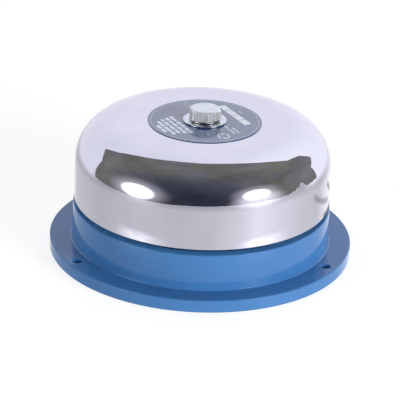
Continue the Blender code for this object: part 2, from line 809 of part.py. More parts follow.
def make_guide():
    """An upright of bent sheet with a nylon bush that guides the push rod."""
    half = GUIDE_HALF
    low = YOKE_PLATE_Z
    thickness = GUIDE_SHEET_T
    foot_start = FRONT_CHEEK_X + SHEET_T + GAP
    bracket = box(
        "guide_bracket",
        (foot_start, -half, low),
        (GUIDE_X + thickness, half, low + thickness),
        STEEL,
    )
    upright = box(
        "guide_upright",
        (GUIDE_X, -half + INSET, low + INSET),
        (GUIDE_X + thickness, half - INSET, GUIDE_TOP_Z),
    )
    join(bracket, upright)
    foot_hole = rod(
        "guide_foot_hole",
        EAR_HOLE_R,
        (GUIDE_BOSS_X, 0, low - MM),
        (GUIDE_BOSS_X, 0, low + thickness + MM),
        TINY,
        cutter=True,
    )
    bush_hole = rod(
        "guide_bush_hole",
        BUSH_R + GAP,
        (GUIDE_X - MM, 0, AXIS_Z),
        (GUIDE_X + thickness + MM, 0, AXIS_Z),
        20,
        cutter=True,
    )
    cut(bracket, foot_hole, bush_hole)
    place = Vector((GUIDE_BOSS_X, 0.0, low + thickness + GAP))
    pan_screw("guide_bracket_screw", place, SMALL_HEAD_R, SMALL_SCREW_LENGTH, 70)

    far = thickness + BUSH_LIP_T
    profile = [
        (ROD_BORE_R, far),
        (BUSH_R, far),
        (BUSH_R, -GAP),
        (BUSH_LIP_R, -GAP),
        (BUSH_LIP_R, -BUSH_LIP_T),
        (ROD_BORE_R, -BUSH_LIP_T),
    ]
    along_x(turned("guide_bush", profile, NYLON, steps=20), GUIDE_X)


# ---------------------------------------------------------------- terminals
def make_terminal_block():
    low = BLOCK_CENTRE - Vector((BLOCK_SIZE.x / 2, BLOCK_SIZE.y / 2, 0.0))
    low.z = FLOOR_Z + GAP
    high = low + BLOCK_SIZE
    block = box("terminal_block", low, high, BLACK)
    ear_t = BLOCK_EAR_T
    ear_low = FLOOR_Z + BLOCK_BOSS_T + GAP
    for i, side in enumerate((-1, 1)):
        inner = side * (BLOCK_SIZE.y / 2 - 2 * MM)
        outer = side * (BLOCK_EAR_Y + EAR_HALF)
        ear = box(
            f"block_ear_{i}",
            (BLOCK_CENTRE.x - EAR_HALF, min(inner, outer), ear_low),
            (BLOCK_CENTRE.x + EAR_HALF, max(inner, outer), ear_low + ear_t),
        )
        join(block, ear)
        place = Vector((BLOCK_CENTRE.x, side * BLOCK_EAR_Y, ear_low))
        hole_low = place - Vector((0, 0, MM))
        hole_high = place + Vector((0, 0, ear_t + MM))
        cut(block, rod(f"block_ear_hole_{i}", EAR_HOLE_R, hole_low, hole_high, TINY, cutter=True))
        head = place + Vector((0, 0, ear_t + GAP))
        name = f"terminal_block_screw_{i + 1}"
        pan_screw(name, head, SMALL_HEAD_R, SMALL_SCREW_LENGTH, 20 + 85 * i)
    channel_z = high.z - CHANNEL_DEPTH
    for i, side in enumerate((-1, 1)):
        y = side * CHANNEL_Y
        channel = box(
            f"block_channel_{i}",
            (low.x - MM, y - CHANNEL_WIDTH / 2, channel_z),
            (high.x + MM, y + CHANNEL_WIDTH / 2, high.z + MM),
            cutter=True,
        )
        cut(block, channel)
        make_clamp(i, Vector((BLOCK_CENTRE.x, y, channel_z + GAP)))


def make_clamp(number, place):
    """A brass bar in its channel, with a screw for the supply and one inside."""
    half = Vector((CLAMP_SIZE.x / 2, CLAMP_SIZE.y / 2, 0.0))
    high = place + Vector((half.x, half.y, CLAMP_SIZE.z))
    bar = box(f"terminal_clamp_{number + 1}", place - half, high, BRASS)
    for j, side in enumerate((-1, 1)):
        top = place + Vector((side * CLAMP_SCREW_X, 0.0, CLAMP_SIZE.z))
        hole = rod(
            f"clamp_hole_{number}_{j}",
            SMALL_SCREW_R + GAP,
            top - Vector((0, 0, CLAMP_SIZE.z * 0.8)),
            top + Vector((0, 0, MM)),
            16,
            cutter=True,
        )
        cut(bar, hole)
        count = 2 * number + j
        head = top + Vector((0, 0, GAP))
        pan_screw(f"terminal_screw_{count + 1}", head, SMALL_HEAD_R, CLAMP_SCREW_LENGTH, 15 + 50 * count)


def make_diode_and_leads():
    """The coil is fed through a diode, so that it pulls once each cycle."""
    body_r, half, edge = DIODE_R, DIODE_HALF, 0.4 * MM
    profile = [
        (0.0, DIODE_REACH),
        (DIODE_LEAD_R, DIODE_REACH),
        (DIODE_LEAD_R, half),
        (body_r - edge, half),
        (body_r, half - edge),
        (body_r, edge - half),
        (body_r - edge, -half),
        (DIODE_LEAD_R, -half),
        (DIODE_LEAD_R, -DIODE_REACH),
        (0.0, -DIODE_REACH),
    ]
    diode = turned("rectifier_diode", profile, BLACK, steps=TINY, closed=False)
    along_x(diode, *DIODE_PLACE)

    clamp_top = FLOOR_Z + GAP + BLOCK_SIZE.z - CHANNEL_DEPTH + GAP + CLAMP_SIZE.z
    wire_z = clamp_top / MM + WIRE_R / MM - 1.4
    end_x = (BLOCK_CENTRE.x + CLAMP_SIZE.x / 2) / MM + 0.4
    coil_x = BOBBIN_X / MM + BOBBIN_FLANGE_T / MM / 2
    flange_r = BOBBIN_FLANGE_R / MM
    axis_z = AXIS_Z / MM
    side_y = CHANNEL_Y / MM
    to_diode = smooth_route(
        [
            (end_x, side_y, wire_z),
            (end_x + 4.0, side_y + 2.5, wire_z),
            (end_x + 6.0, side_y + 9.0, wire_z - 0.5),
            (-23.6, 23.0, 19.7),
            (-20.4, 24.0, 19.5),
        ],
        18,
    )
    wire("lead_terminal_to_diode", to_diode, WIRE_R, RED_WIRE)
    from_diode = smooth_route(
        [
            (-3.6, 24.0, 19.5),
            (0.0, 24.0, 19.8),
            (8.0, 22.5, 23.0),
            (14.0, 18.5, 32.0),
            (coil_x, flange_r + 1.3, axis_z),
        ],
        20,
    )
    wire("lead_diode_to_coil", from_diode, WIRE_R, RED_WIRE)
    from_block = smooth_route(
        [
            (end_x, -side_y, wire_z),
            (end_x + 5.0, -side_y - 1.0, wire_z + 0.4),
            (-14.0, -15.0, 23.0),
            (0.0, -19.5, 26.0),
            (11.0, -19.0, 32.0),
            (coil_x, -flange_r - 1.3, axis_z),
        ],
        26,
    )
    wire("lead_terminal_to_coil", from_block, WIRE_R, BLACK)


# ---------------------------------------------------------------- assembly
make_base()
make_grommet()
make_post()
make_gong()
make_gong_fixings()
make_yoke()
make_coil()
make_pole_and_buffer()
striker = bpy.data.objects.new("striker_axis", None)
BELL.objects.link(striker)
striker.location = (PLUNGER_X, 0.0, AXIS_Z)
make_striker(striker)
make_return_spring()
make_guide()
make_terminal_block()
make_diode_and_leads()
weigh_normals()
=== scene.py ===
"""Looks of the inside-striking alarm bell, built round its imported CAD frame.

The outside pieces, the nut and washer behind the floor and the return spring
are modelled again at full smoothness and stand for their CAD nodes.  The other
pieces inside keep their CAD shape, with finer surfaces.
Lengths are in metres, in the row frame: +Z out of the wall, +X the blow.
"""

import math
import random

import bmesh
import bpy
from mathutils import Matrix, Vector, noise


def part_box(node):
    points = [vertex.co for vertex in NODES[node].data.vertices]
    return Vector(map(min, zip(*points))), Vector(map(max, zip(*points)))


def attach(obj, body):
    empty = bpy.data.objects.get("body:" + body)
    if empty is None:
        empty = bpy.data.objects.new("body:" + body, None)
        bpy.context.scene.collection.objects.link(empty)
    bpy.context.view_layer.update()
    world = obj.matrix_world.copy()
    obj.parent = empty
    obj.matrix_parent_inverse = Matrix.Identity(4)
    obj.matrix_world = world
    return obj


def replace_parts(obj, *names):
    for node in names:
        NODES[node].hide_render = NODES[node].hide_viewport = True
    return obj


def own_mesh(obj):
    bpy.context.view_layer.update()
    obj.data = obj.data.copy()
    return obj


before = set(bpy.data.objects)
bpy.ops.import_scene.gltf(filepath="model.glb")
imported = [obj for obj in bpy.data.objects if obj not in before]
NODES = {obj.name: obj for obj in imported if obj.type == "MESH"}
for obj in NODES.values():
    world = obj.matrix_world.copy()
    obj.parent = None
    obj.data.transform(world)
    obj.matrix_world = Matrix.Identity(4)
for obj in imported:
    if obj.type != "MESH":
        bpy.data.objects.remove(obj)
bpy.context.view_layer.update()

MM = 0.001
FINE = 256  # sides of the large turned pieces
MEDIUM = 96  # sides of the small turned pieces


# ---------------------------------------------------------------- positions
def low_of(node):
    return Vector(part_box(node)[0])


def high_of(node):
    return Vector(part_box(node)[1])


def radius_of(node):
    return (high_of(node).x - low_of(node).x) / 2


def turn_point(radius, degrees, z=0.0):
    angle = math.radians(degrees)
    return Vector((radius * math.cos(angle), radius * math.sin(angle), z))


# ---------------------------------------------------------------- mesh tools
def finish_mesh(name, mesh, material, sharp=32.0, weigh=True, body="bell_base"):
    """Makes the mesh an object that rides on its body, smooth but for its edges."""
    mesh.materials.clear()
    mesh.materials.append(material)
    mesh.shade_smooth()
    mesh.set_sharp_from_angle(angle=math.radians(sharp))
    piece = bpy.data.objects.new(name, mesh)
    bpy.context.scene.collection.objects.link(piece)
    if weigh:
        weights = piece.modifiers.new("flat_faces", "WEIGHTED_NORMAL")
        weights.keep_sharp = True
        weights.weight = 100
    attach(piece, body)
    return piece


def arc(centre_r, centre_z, radius, start, end, steps):
    points = []
    for i in range(steps + 1):
        angle = math.radians(start + (end - start) * i / steps)
        points.append((centre_r + radius * math.cos(angle), centre_z + radius * math.sin(angle)))
    return points


def lathe(profile, steps=FINE, closed=True):
    """A mesh of the profile turned about Z, as a ring or as a solid on the axis."""
    shape = bmesh.new()
    rings = []
    for i in range(steps):
        angle = 2 * math.pi * i / steps
        around = []
        for r, z in profile:
            around.append(shape.verts.new((r * math.cos(angle), r * math.sin(angle), z)))
        rings.append(around)
    count = len(profile)
    spans = count if closed else count - 1
    for i in range(steps):
        here = rings[i]
        there = rings[(i + 1) % len(rings)]
        for j in range(spans):
            k = (j + 1) % count
            shape.faces.new((here[j], there[j], there[k], here[k]))
    bmesh.ops.remove_doubles(shape, verts=shape.verts, dist=1e-7)
    bmesh.ops.dissolve_degenerate(shape, edges=shape.edges, dist=1e-8)
    bmesh.ops.recalc_face_normals(shape, faces=shape.faces)
    return shape


def slab(low, high, bevel=0.0):
    """A block with its edges rounded."""
    low, high = Vector(low), Vector(high)
    shape = bmesh.new()
    bmesh.ops.create_cube(shape, size=1.0)
    bmesh.ops.scale(shape, vec=high - low, verts=shape.verts)
    bmesh.ops.translate(shape, vec=(low + high) / 2, verts=shape.verts)
    if bevel:
        bmesh.ops.bevel(
            shape, geom=list(shape.edges), offset=bevel, segments=2, profile=0.5, affect="EDGES",
        )
    return shape


def moved(shape, matrix):
    bmesh.ops.transform(shape, matrix=matrix, verts=shape.verts)
    return shape


def to_mesh(name, *shapes):
    """One mesh from several shapes."""
    mesh = bpy.data.meshes.new(name)
    whole = bmesh.new()
    for shape in shapes:
        part = bpy.data.meshes.new("part")
        shape.to_mesh(part)
        shape.free()
        whole.from_mesh(part)
        bpy.data.meshes.remove(part)
    whole.to_mesh(mesh)
    whole.free()
    return mesh


def carve(mesh, cutters, operation="DIFFERENCE"):
    """The mesh after its cutters, with the Boolean applied."""
    body = bpy.data.objects.new("carved", mesh)
    bpy.context.scene.collection.objects.link(body)
    helpers = []
    for cutter in cutters:
        tool = bpy.data.objects.new("cutter", to_mesh("cutter", cutter))
        bpy.context.scene.collection.objects.link(tool)
        step = body.modifiers.new("carve", "BOOLEAN")
        step.operation = operation
        step.solver = "EXACT"
        step.object = tool
        helpers.append(tool)
    graph = bpy.context.evaluated_depsgraph_get()
    result = bpy.data.meshes.new_from_object(body.evaluated_get(graph))
    for helper in [body, *helpers]:
        bpy.data.objects.remove(helper)
    return result


# ---------------------------------------------------------------- shader tools
class Shader:
    """A Principled material and the few nodes that give it its detail."""

    def __init__(self, name, colour, roughness, metallic=0.0, **sockets):
        self.material = bpy.data.materials.new(name)
        self.material.use_nodes = True
        self.tree = self.material.node_tree
        self.surface = self.tree.nodes["Principled BSDF"]
        self.surface.inputs["Base Color"].default_value = (*colour, 1.0)
        self.surface.inputs["Roughness"].default_value = roughness
        self.surface.inputs["Metallic"].default_value = metallic
        for socket, value in sockets.items():
            self.surface.inputs[socket.replace("_", " ")].default_value = value
        self.place = self.tree.nodes.new("ShaderNodeTexCoord").outputs["Object"]

    def link(self, output, target):
        self.tree.links.new(output, target)

    def stretched(self, scale):
        """Object coordinates scaled apart along each axis."""
        node = self.tree.nodes.new("ShaderNodeMapping")
        node.inputs["Scale"].default_value = scale
        self.link(self.place, node.inputs["Vector"])
        return node.outputs["Vector"]

    def noise(self, size, detail=3.0, stretch=None):
        """Noise with features of about that size in metres."""
        node = self.tree.nodes.new("ShaderNodeTexNoise")
        node.inputs["Scale"].default_value = 1.0 / size
        node.inputs["Detail"].default_value = detail
        self.link(self.stretched(stretch) if stretch else self.place, node.inputs["Vector"])
        return node.outputs["Fac"]

    def cells(self, size):
        node = self.tree.nodes.new("ShaderNodeTexVoronoi")
        node.inputs["Scale"].default_value = 1.0 / size
        self.link(self.place, node.inputs["Vector"])
        return node.outputs["Distance"]

    def wave(self, pitch, direction, distortion=0.0, kind="BANDS"):
        """Ridges at that pitch along an axis, or rings round it."""
        node = self.tree.nodes.new("ShaderNodeTexWave")
        node.wave_type = kind
        if kind == "BANDS":
            node.bands_direction = direction
        else:
            node.rings_direction = direction
        node.inputs["Scale"].default_value = math.pi / 10 / pitch
        node.inputs["Distortion"].default_value = distortion
        self.link(self.place, node.inputs["Vector"])
        return node.outputs["Fac"]

    def sides(self):
        """1 on upright faces and 0 on level ones."""
        normal = self.tree.nodes.new("ShaderNodeTexCoord").outputs["Normal"]
        split = self.tree.nodes.new("ShaderNodeSeparateXYZ")
        self.link(normal, split.inputs["Vector"])
        node = self.tree.nodes.new("ShaderNodeMapRange")
        node.inputs["From Min"].default_value = 0.8
        node.inputs["From Max"].default_value = 0.3
        self.link(split.outputs["Z"], node.inputs["Value"])
        return node.outputs["Result"]

    def mixed(self, share, first, second):
        node = self.tree.nodes.new("ShaderNodeMix")
        node.data_type = "RGBA"
        self.link(share, node.inputs["Factor"])
        self.link(first, node.inputs["A"])
        self.link(second, node.inputs["B"])
        return node.outputs["Result"]

    def ramp(self, value, *stops):
        """Turns 0 to 1 into colours: each stop is (position, colour or grey)."""
        node = self.tree.nodes.new("ShaderNodeValToRGB")
        while len(node.color_ramp.elements) < len(stops):
            node.color_ramp.elements.new(0.5)
        for element, (position, colour) in zip(node.color_ramp.elements, stops):
            grey = not isinstance(colour, tuple)
            element.position = position
            element.color = (colour, colour, colour, 1.0) if grey else (*colour, 1.0)
        self.link(value, node.inputs["Fac"])
        return node.outputs["Color"]

    def colour(self, value, *stops):
        self.link(self.ramp(value, *stops), self.surface.inputs["Base Color"])
        return self

    def roughness(self, value, low, high):
        node = self.tree.nodes.new("ShaderNodeMapRange")
        node.inputs["To Min"].default_value = low
        node.inputs["To Max"].default_value = high
        node.inputs["From Min"].default_value = 0.3
        node.inputs["From Max"].default_value = 0.7
        self.link(value, node.inputs["Value"])
        self.link(node.outputs["Result"], self.surface.inputs["Roughness"])
        return self

    def bump(self, value, depth):
        """Adds relief of that depth in metres on top of what there is."""
        node = self.tree.nodes.new("ShaderNodeBump")
        node.inputs["Strength"].default_value = 1.0
        node.inputs["Distance"].default_value = depth
        self.link(value, node.inputs["Height"])
        normal = self.surface.inputs["Normal"]
        if normal.links:
            self.link(normal.links[0].from_socket, node.inputs["Normal"])
        self.link(node.outputs["Normal"], normal)
        return self


# ---------------------------------------------------------------- materials
def blue_gloss():
    """Deep gloss moulding: slight mottling and a faint orange peel."""
    look = Shader("blue_gloss", (0.052, 0.184, 0.440), 0.08, IOR=1.47)
    look.colour(
        look.noise(30 * MM, 4.0),
        (0.30, (0.048, 0.174, 0.420)),
        (0.52, (0.052, 0.185, 0.442)),
        (0.75, (0.057, 0.197, 0.466)),
    )
    look.roughness(look.noise(9 * MM, 5.0), 0.05, 0.11)
    look.bump(look.noise(2.6 * MM, 2.0), 0.004 * MM)
    return look.material


def mirror_chrome():
    """Polished chrome: a mirror with faint waves, haze and hairline scratches."""
    look = Shader("mirror_chrome", (0.74, 0.74, 0.80), 0.03, 1.0)
    look.colour(
        look.noise(24 * MM, 3.0),
        (0.30, (0.712, 0.710, 0.815)),
        (0.70, (0.757, 0.755, 0.850)),
    )
    look.roughness(look.noise(14 * MM, 6.0), 0.015, 0.055)
    look.bump(look.noise(21 * MM, 1.0), 0.012 * MM)
    look.bump(look.noise(0.5 * MM, 2.0, stretch=(0.06, 0.06, 1.0)), 0.0006 * MM)
    return look.material


def bolt_chrome():
    """The bolt's satin plating: forming marks run along its sides, the top is plain."""
    look = Shader("bolt_chrome", (0.84, 0.86, 0.88), 0.42, 0.75)
    upright = look.sides()
    streaks = look.ramp(
        look.noise(1.5 * MM, 3.0, stretch=(1.0, 1.0, 0.06)),
        (0.34, (0.52, 0.60, 0.53)),
        (0.48, (0.86, 0.88, 0.86)),
        (0.62, (0.96, 0.97, 0.98)),
    )
    plain = look.ramp(
        look.noise(6.0 * MM, 3.0),
        (0.3, (0.78, 0.83, 0.90)),
        (0.7, (0.84, 0.88, 0.94)),
    )
    look.link(look.mixed(upright, plain, streaks), look.surface.inputs["Base Color"])
    look.roughness(look.noise(2.0 * MM, 4.0), 0.34, 0.50)
    marks = look.noise(1.0 * MM, 2.0, stretch=(1.0, 1.0, 0.05))
    look.bump(look.mixed(upright, look.noise(3.0 * MM), marks), 0.05 * MM)
    return look.material


def bright_washer():
    """Plated washer: fine turning marks and a soft sheen."""
    look = Shader("bright_washer", (0.78, 0.79, 0.83), 0.14, 1.0)
    look.colour(look.noise(5 * MM), (0.3, (0.65, 0.68, 0.76)), (0.7, (0.74, 0.77, 0.85)))
    look.roughness(look.noise(3 * MM, 5.0), 0.10, 0.20)
    look.bump(look.wave(0.35 * MM, "Z", 0.4, "RINGS"), 0.003 * MM)
    return look.material


def zinc_steel():
    """Zinc plate with its faint yellow and blue bloom."""
    look = Shader("zinc_steel", (0.62, 0.63, 0.64), 0.30, 1.0)
    look.colour(
        look.noise(6 * MM, 4.0),
        (0.28, (0.52, 0.55, 0.62)),
        (0.50, (0.64, 0.65, 0.65)),
        (0.72, (0.68, 0.66, 0.57)),
    )
    look.roughness(look.noise(2.5 * MM, 5.0), 0.22, 0.40)
    look.bump(look.noise(0.4 * MM, 3.0), 0.006 * MM)
    return look.material


def soft_iron():
    """Bare turned iron: tool marks round the axis and a grey oxide."""
    look = Shader("soft_iron", (0.35, 0.35, 0.36), 0.42, 1.0)
    look.colour(look.noise(4 * MM, 5.0), (0.3, (0.26, 0.255, 0.25)), (0.7, (0.42, 0.42, 0.43)))
    look.roughness(look.noise(1.5 * MM, 4.0), 0.32, 0.52)
    look.bump(look.wave(0.30 * MM, "X", 0.3), 0.008 * MM)
    return look.material


def brass():
    """Drawn brass, a little tarnished."""
    look = Shader("brass", (0.72, 0.52, 0.22), 0.26, 1.0)
    look.colour(
        look.noise(3.5 * MM, 5.0),
        (0.28, (0.50, 0.34, 0.13)),
        (0.50, (0.72, 0.52, 0.22)),
        (0.75, (0.80, 0.60, 0.28)),
    )
    look.roughness(look.noise(1.8 * MM, 4.0), 0.18, 0.38)
    look.bump(look.noise(0.3 * MM, 3.0, stretch=(0.05, 1.0, 1.0)), 0.004 * MM)
    return look.material


def label_film():
    """Navy print under a clear gloss film."""
    look = Shader(
        "label_film", (0.044, 0.088, 0.225), 0.12, Coat_Weight=1.0, Coat_Roughness=0.04, IOR=1.6,
    )
    look.colour(
        look.noise(12 * MM, 3.0),
        (0.30, (0.040, 0.080, 0.208)),
        (0.70, (0.048, 0.096, 0.245)),
    )
    look.roughness(look.noise(6 * MM, 4.0), 0.09, 0.16)
    look.bump(look.noise(5 * MM, 2.0), 0.006 * MM)
    return look.material


def label_ink(name, light, dark):
    """Pale ink under the film, thinner here and there."""
    look = Shader(name, light, 0.14, Coat_Weight=1.0, Coat_Roughness=0.05)
    look.colour(look.noise(1.2 * MM, 4.0), (0.30, dark), (0.60, light))
    look.roughness(look.noise(3 * MM), 0.12, 0.20)
    return look.material


def black_rubber():
    look = Shader("black_rubber", (0.02, 0.02, 0.02), 0.75)
    look.colour(look.noise(5 * MM, 5.0), (0.3, (0.014, 0.014, 0.015)), (0.7, (0.034, 0.033, 0.032)))
    look.roughness(look.noise(2 * MM, 4.0), 0.62, 0.85)
    look.bump(look.noise(0.35 * MM, 4.0), 0.015 * MM)
    return look.material


def white_nylon():
    look = Shader("white_nylon", (0.80, 0.79, 0.74), 0.42, Subsurface_Weight=0.15)
    look.colour(look.noise(7 * MM, 3.0), (0.3, (0.74, 0.73, 0.67)), (0.7, (0.84, 0.83, 0.79)))
    look.roughness(look.noise(2 * MM, 4.0), 0.34, 0.50)
    look.bump(look.noise(0.6 * MM, 3.0), 0.008 * MM)
    return look.material


def black_plastic():
    look = Shader("black_plastic", (0.03, 0.03, 0.03), 0.36)
    look.colour(look.noise(6 * MM, 4.0), (0.3, (0.020, 0.020, 0.022)), (0.7, (0.045, 0.044, 0.045)))
    look.roughness(look.noise(2 * MM, 4.0), 0.28, 0.46)
    look.bump(look.cells(0.5 * MM), 0.010 * MM)
    return look.material


def enamelled_copper():
    """Close turns of enamelled wire, wound along X."""
    look = Shader("enamelled_copper", (0.50, 0.18, 0.06), 0.28, 1.0)
    look.colour(look.noise(3 * MM, 4.0), (0.3, (0.38, 0.12, 0.035)), (0.7, (0.60, 0.24, 0.09)))
    look.roughness(look.noise(1.5 * MM, 3.0), 0.20, 0.36)
    look.bump(look.wave(0.35 * MM, "X", 0.15), 0.09 * MM)
    return look.material


def coil_tape():
    """Thin amber tape, with the winding showing through as ridges."""
    look = Shader("coil_tape", (0.75, 0.58, 0.10), 0.30, Coat_Weight=0.5, Coat_Roughness=0.2)
    look.colour(look.noise(8 * MM, 4.0), (0.3, (0.62, 0.42, 0.06)), (0.7, (0.80, 0.62, 0.14)))
    look.roughness(look.noise(3 * MM, 4.0), 0.22, 0.40)
    look.bump(look.wave(1.4 * MM, "X", 0.8), 0.05 * MM)
    return look.material


def red_insulation():
    look = Shader("red_insulation", (0.45, 0.03, 0.03), 0.38)
    look.colour(look.noise(6 * MM, 3.0), (0.3, (0.36, 0.022, 0.022)), (0.7, (0.52, 0.040, 0.035)))
    look.roughness(look.noise(2 * MM, 3.0), 0.30, 0.46)
    look.bump(look.noise(0.5 * MM, 3.0), 0.006 * MM)
    return look.material


def spring_steel():
    look = Shader("spring_steel", (0.55, 0.56, 0.58), 0.22, 1.0)
    look.colour(look.noise(1.5 * MM, 3.0), (0.3, (0.46, 0.47, 0.50)), (0.7, (0.62, 0.63, 0.65)))
    look.roughness(look.noise(0.8 * MM, 3.0), 0.16, 0.30)
    look.bump(look.noise(0.2 * MM, 2.0), 0.003 * MM)
    return look.material


# ---------------------------------------------------------------- base
FLANGE_T = 7.6 * MM
DRUM_TOP_Z = high_of("base_housing").z
FLANGE_R = radius_of("base_housing")
SCREW_CIRCLE_R = 82.4 * MM
SCREW_ANGLES = (-150, -30, 90)
SCREW_HOLE_R = 2.85 * MM
BOSS_BORE_R = 1.8 * MM
BOSS_R = 4.0 * MM
BOSS_FOOT = 11.5 * MM  # a little inside the floor


def base_profile():
    """The moulding's section, with every edge rounded."""
    edge = 0.7 * MM
    drum_r, foot_r, wall = 75.5 * MM, 76.3 * MM, 6.0 * MM
    floor, under = 12.0 * MM, 9.0 * MM
    fillet = 2.0 * MM
    points = [(4.4 * MM, 18.0 * MM)]
    points += arc(13.0 * MM - edge, 18.0 * MM - edge, edge, 90, 0, 5)
    points += arc(13.4 * MM + edge, floor + edge, edge, 180, 270, 4)
    points += arc(drum_r - wall - fillet, floor + fillet, fillet, -90, 0, 8)
    points += arc(drum_r - wall + edge, DRUM_TOP_Z - edge, edge, 180, 90, 6)
    points += arc(drum_r - edge, DRUM_TOP_Z - edge, edge, 90, 0, 8)
    points += arc(foot_r + edge, FLANGE_T + edge, edge, 180, 270, 8)
    points += arc(FLANGE_R - edge, FLANGE_T - edge, edge, 90, 0, 8)
    points += arc(FLANGE_R - edge, edge, edge, 0, -90, 6)
    points += [(86.3 * MM, 0.0), (86.0 * MM, 0.3 * MM), (86.0 * MM, 4.6 * MM)]
    points += [(78.5 * MM, 4.6 * MM), (78.5 * MM, 0.3 * MM), (78.2 * MM, 0.0)]
    points += [(70.3 * MM, 0.0), (70.0 * MM, 0.3 * MM)]
    points += arc(70.0 * MM - 1.5 * MM, under - 1.5 * MM, 1.5 * MM, 0, 90, 5)
    points += [(4.4 * MM, under)]
    return points


def hole_cutter(radius, low, high, flare, place):
    """A straight drill with a small countersink at the upper face."""
    profile = [
        (0.0, low), (radius, low), (radius, high - flare), (radius + flare, high),
        (radius + flare, high + MM), (0.0, high + MM),
    ]
    return moved(lathe(profile, 48, closed=False), Matrix.Translation(place))


def tube(inner, outer, low, high, place, steps=40):
    edge = 0.4 * MM
    profile = [(inner, low), (inner, high), (outer - edge, high)]
    profile += arc(outer - edge, high - edge, edge, 90, 0, 3)[1:]
    profile += [(outer, low)]
    return moved(lathe(profile, steps), Matrix.Translation(place))


def ribs(count, first, inner, outer, low, high):
    shapes = []
    for i in range(count):
        rib = slab((inner, -0.9 * MM, low), (outer, 0.9 * MM, high), 0.25 * MM)
        turn = Matrix.Rotation(math.radians(first + 360.0 / count * i), 4, "Z")
        shapes.append(moved(rib, turn))
    return shapes


def make_base(material):
    drills = []
    for angle in SCREW_ANGLES:
        place = turn_point(SCREW_CIRCLE_R, angle)
        drills.append(hole_cutter(SCREW_HOLE_R, 2.0 * MM, FLANGE_T, 0.35 * MM, place))
    grommet = (low_of("cable_grommet") + high_of("cable_grommet")) / 2
    grommet.z = 0.0
    drills.append(hole_cutter(7.0 * MM, 6.0 * MM, 12.0 * MM, 0.2 * MM, grommet))
    shell = carve(to_mesh("base_shell", lathe(base_profile())), drills)
    extras = []
    for angle in SCREW_ANGLES:
        place = turn_point(SCREW_CIRCLE_R, angle)
        extras.append(tube(SCREW_HOLE_R, 5.2 * MM, 0.1 * MM, 5.0 * MM, place, 48))
    extras += ribs(6, 0, 78.0 * MM, 86.5 * MM, 1.0 * MM, 5.0 * MM)
    extras += ribs(6, 30, 17.0 * MM, 70.5 * MM, 6.6 * MM, 9.5 * MM)
    for screw in ("yoke_screw_1", "yoke_screw_2", "guide_bracket_screw"):
        centre = (low_of(screw) + high_of(screw)) / 2
        top = low_of("solenoid_yoke").z - 0.3 * MM
        extras.append(tube(BOSS_BORE_R, BOSS_R, BOSS_FOOT, top, (centre.x, centre.y, 0)))
    for screw in ("terminal_block_screw_1", "terminal_block_screw_2"):
        centre = (low_of(screw) + high_of(screw)) / 2
        top = 16.0 * MM
        extras.append(tube(BOSS_BORE_R, BOSS_R, BOSS_FOOT, top, (centre.x, centre.y, 0)))
    mesh = to_mesh("base_moulding", *extras)
    joined = bmesh.new()
    joined.from_mesh(shell)
    joined.from_mesh(mesh)
    joined.to_mesh(mesh)
    joined.free()
    bpy.data.meshes.remove(shell)
    piece = finish_mesh("base_moulding", mesh, material)
    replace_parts(piece, "base_housing")


# ---------------------------------------------------------------- gong
GONG_TOP = high_of("gong").z
GONG_R = radius_of("gong")
GONG_RIM = low_of("gong").z
GONG_T = 2.0 * MM
SHOULDER_R = 24.94 * MM
WASHER_BORE_R = 5.3 * MM
LOCK_NOTCHES = 8  # the gaps between the lock washer's inner teeth
BOLT_FLATS = 17.0 * MM
BOLT_TURN = -81.0  # degrees: where one of the head's corners points
BOLT_R = 5.0 * MM
THREAD_ROOT_R = 4.6 * MM
NUT_FLATS = 13.0 * MM
STUD_BORE_R = 4.4 * MM
HEX_EDGE = 0.5 * MM


def make_gong(material):
    """A spun dome: flat top, round shoulder, upright wall and a rolled rim."""
    centre_r, centre_z = GONG_R - SHOULDER_R, GONG_TOP - SHOULDER_R
    edge = GONG_T / 2
    hole = 5.5 * MM
    points = [(hole, GONG_TOP - 0.3 * MM), (hole + 0.3 * MM, GONG_TOP)]
    points += [(20 * MM, GONG_TOP), (36 * MM, GONG_TOP)]
    points += arc(centre_r, centre_z, SHOULDER_R, 90, 0, 72)
    points += [(GONG_R, (centre_z + GONG_RIM) / 2)]
    points += arc(GONG_R - edge, GONG_RIM + edge, edge, 0, -180, 12)
    points += arc(centre_r, centre_z, SHOULDER_R - GONG_T, 0, 90, 40)
    points += [(hole, GONG_TOP - GONG_T)]
    piece = finish_mesh("gong_dome", to_mesh("gong_dome", lathe(points, 320)), material)
    # Stands in for the light that the real mirror throws down onto the base's ledge.
    piece.visible_diffuse = False
    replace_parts(piece, "gong")


def ring(inner, outer, low, high, edge, steps=MEDIUM):
    """A flat ring with its four edges rounded."""
    profile = arc(outer - edge, high - edge, edge, 90, 0, 5)
    profile += arc(outer - edge, low + edge, edge, 0, -90, 5)
    profile += arc(inner + edge, low + edge, edge, -90, -180, 3)
    profile += arc(inner + edge, high - edge, edge, 180, 90, 3)
    return lathe(profile, steps)


def make_washers(bright, zinc):
    low, high = low_of("gong_washer").z, high_of("gong_washer").z
    disc = ring(WASHER_BORE_R, radius_of("gong_washer"), low, high, 0.25 * MM, 128)
    piece = finish_mesh("bright_washer", to_mesh("bright_washer", disc), bright)
    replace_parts(piece, "gong_washer")

    low, high = low_of("lock_washer").z, high_of("lock_washer").z
    toothed = ring(WASHER_BORE_R, radius_of("lock_washer"), low, high, 0.2 * MM, 120)
    notches = []
    for i in range(LOCK_NOTCHES):
        notch = slab((4.0 * MM, -0.7 * MM, low - MM), (7.4 * MM, 0.7 * MM, high + MM))
        turn = math.radians(360.0 / LOCK_NOTCHES * i)
        notches.append(moved(notch, Matrix.Rotation(turn, 4, "Z")))
    mesh = carve(to_mesh("toothed_washer", toothed), notches)
    piece = finish_mesh("toothed_washer", mesh, zinc)
    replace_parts(piece, "lock_washer")


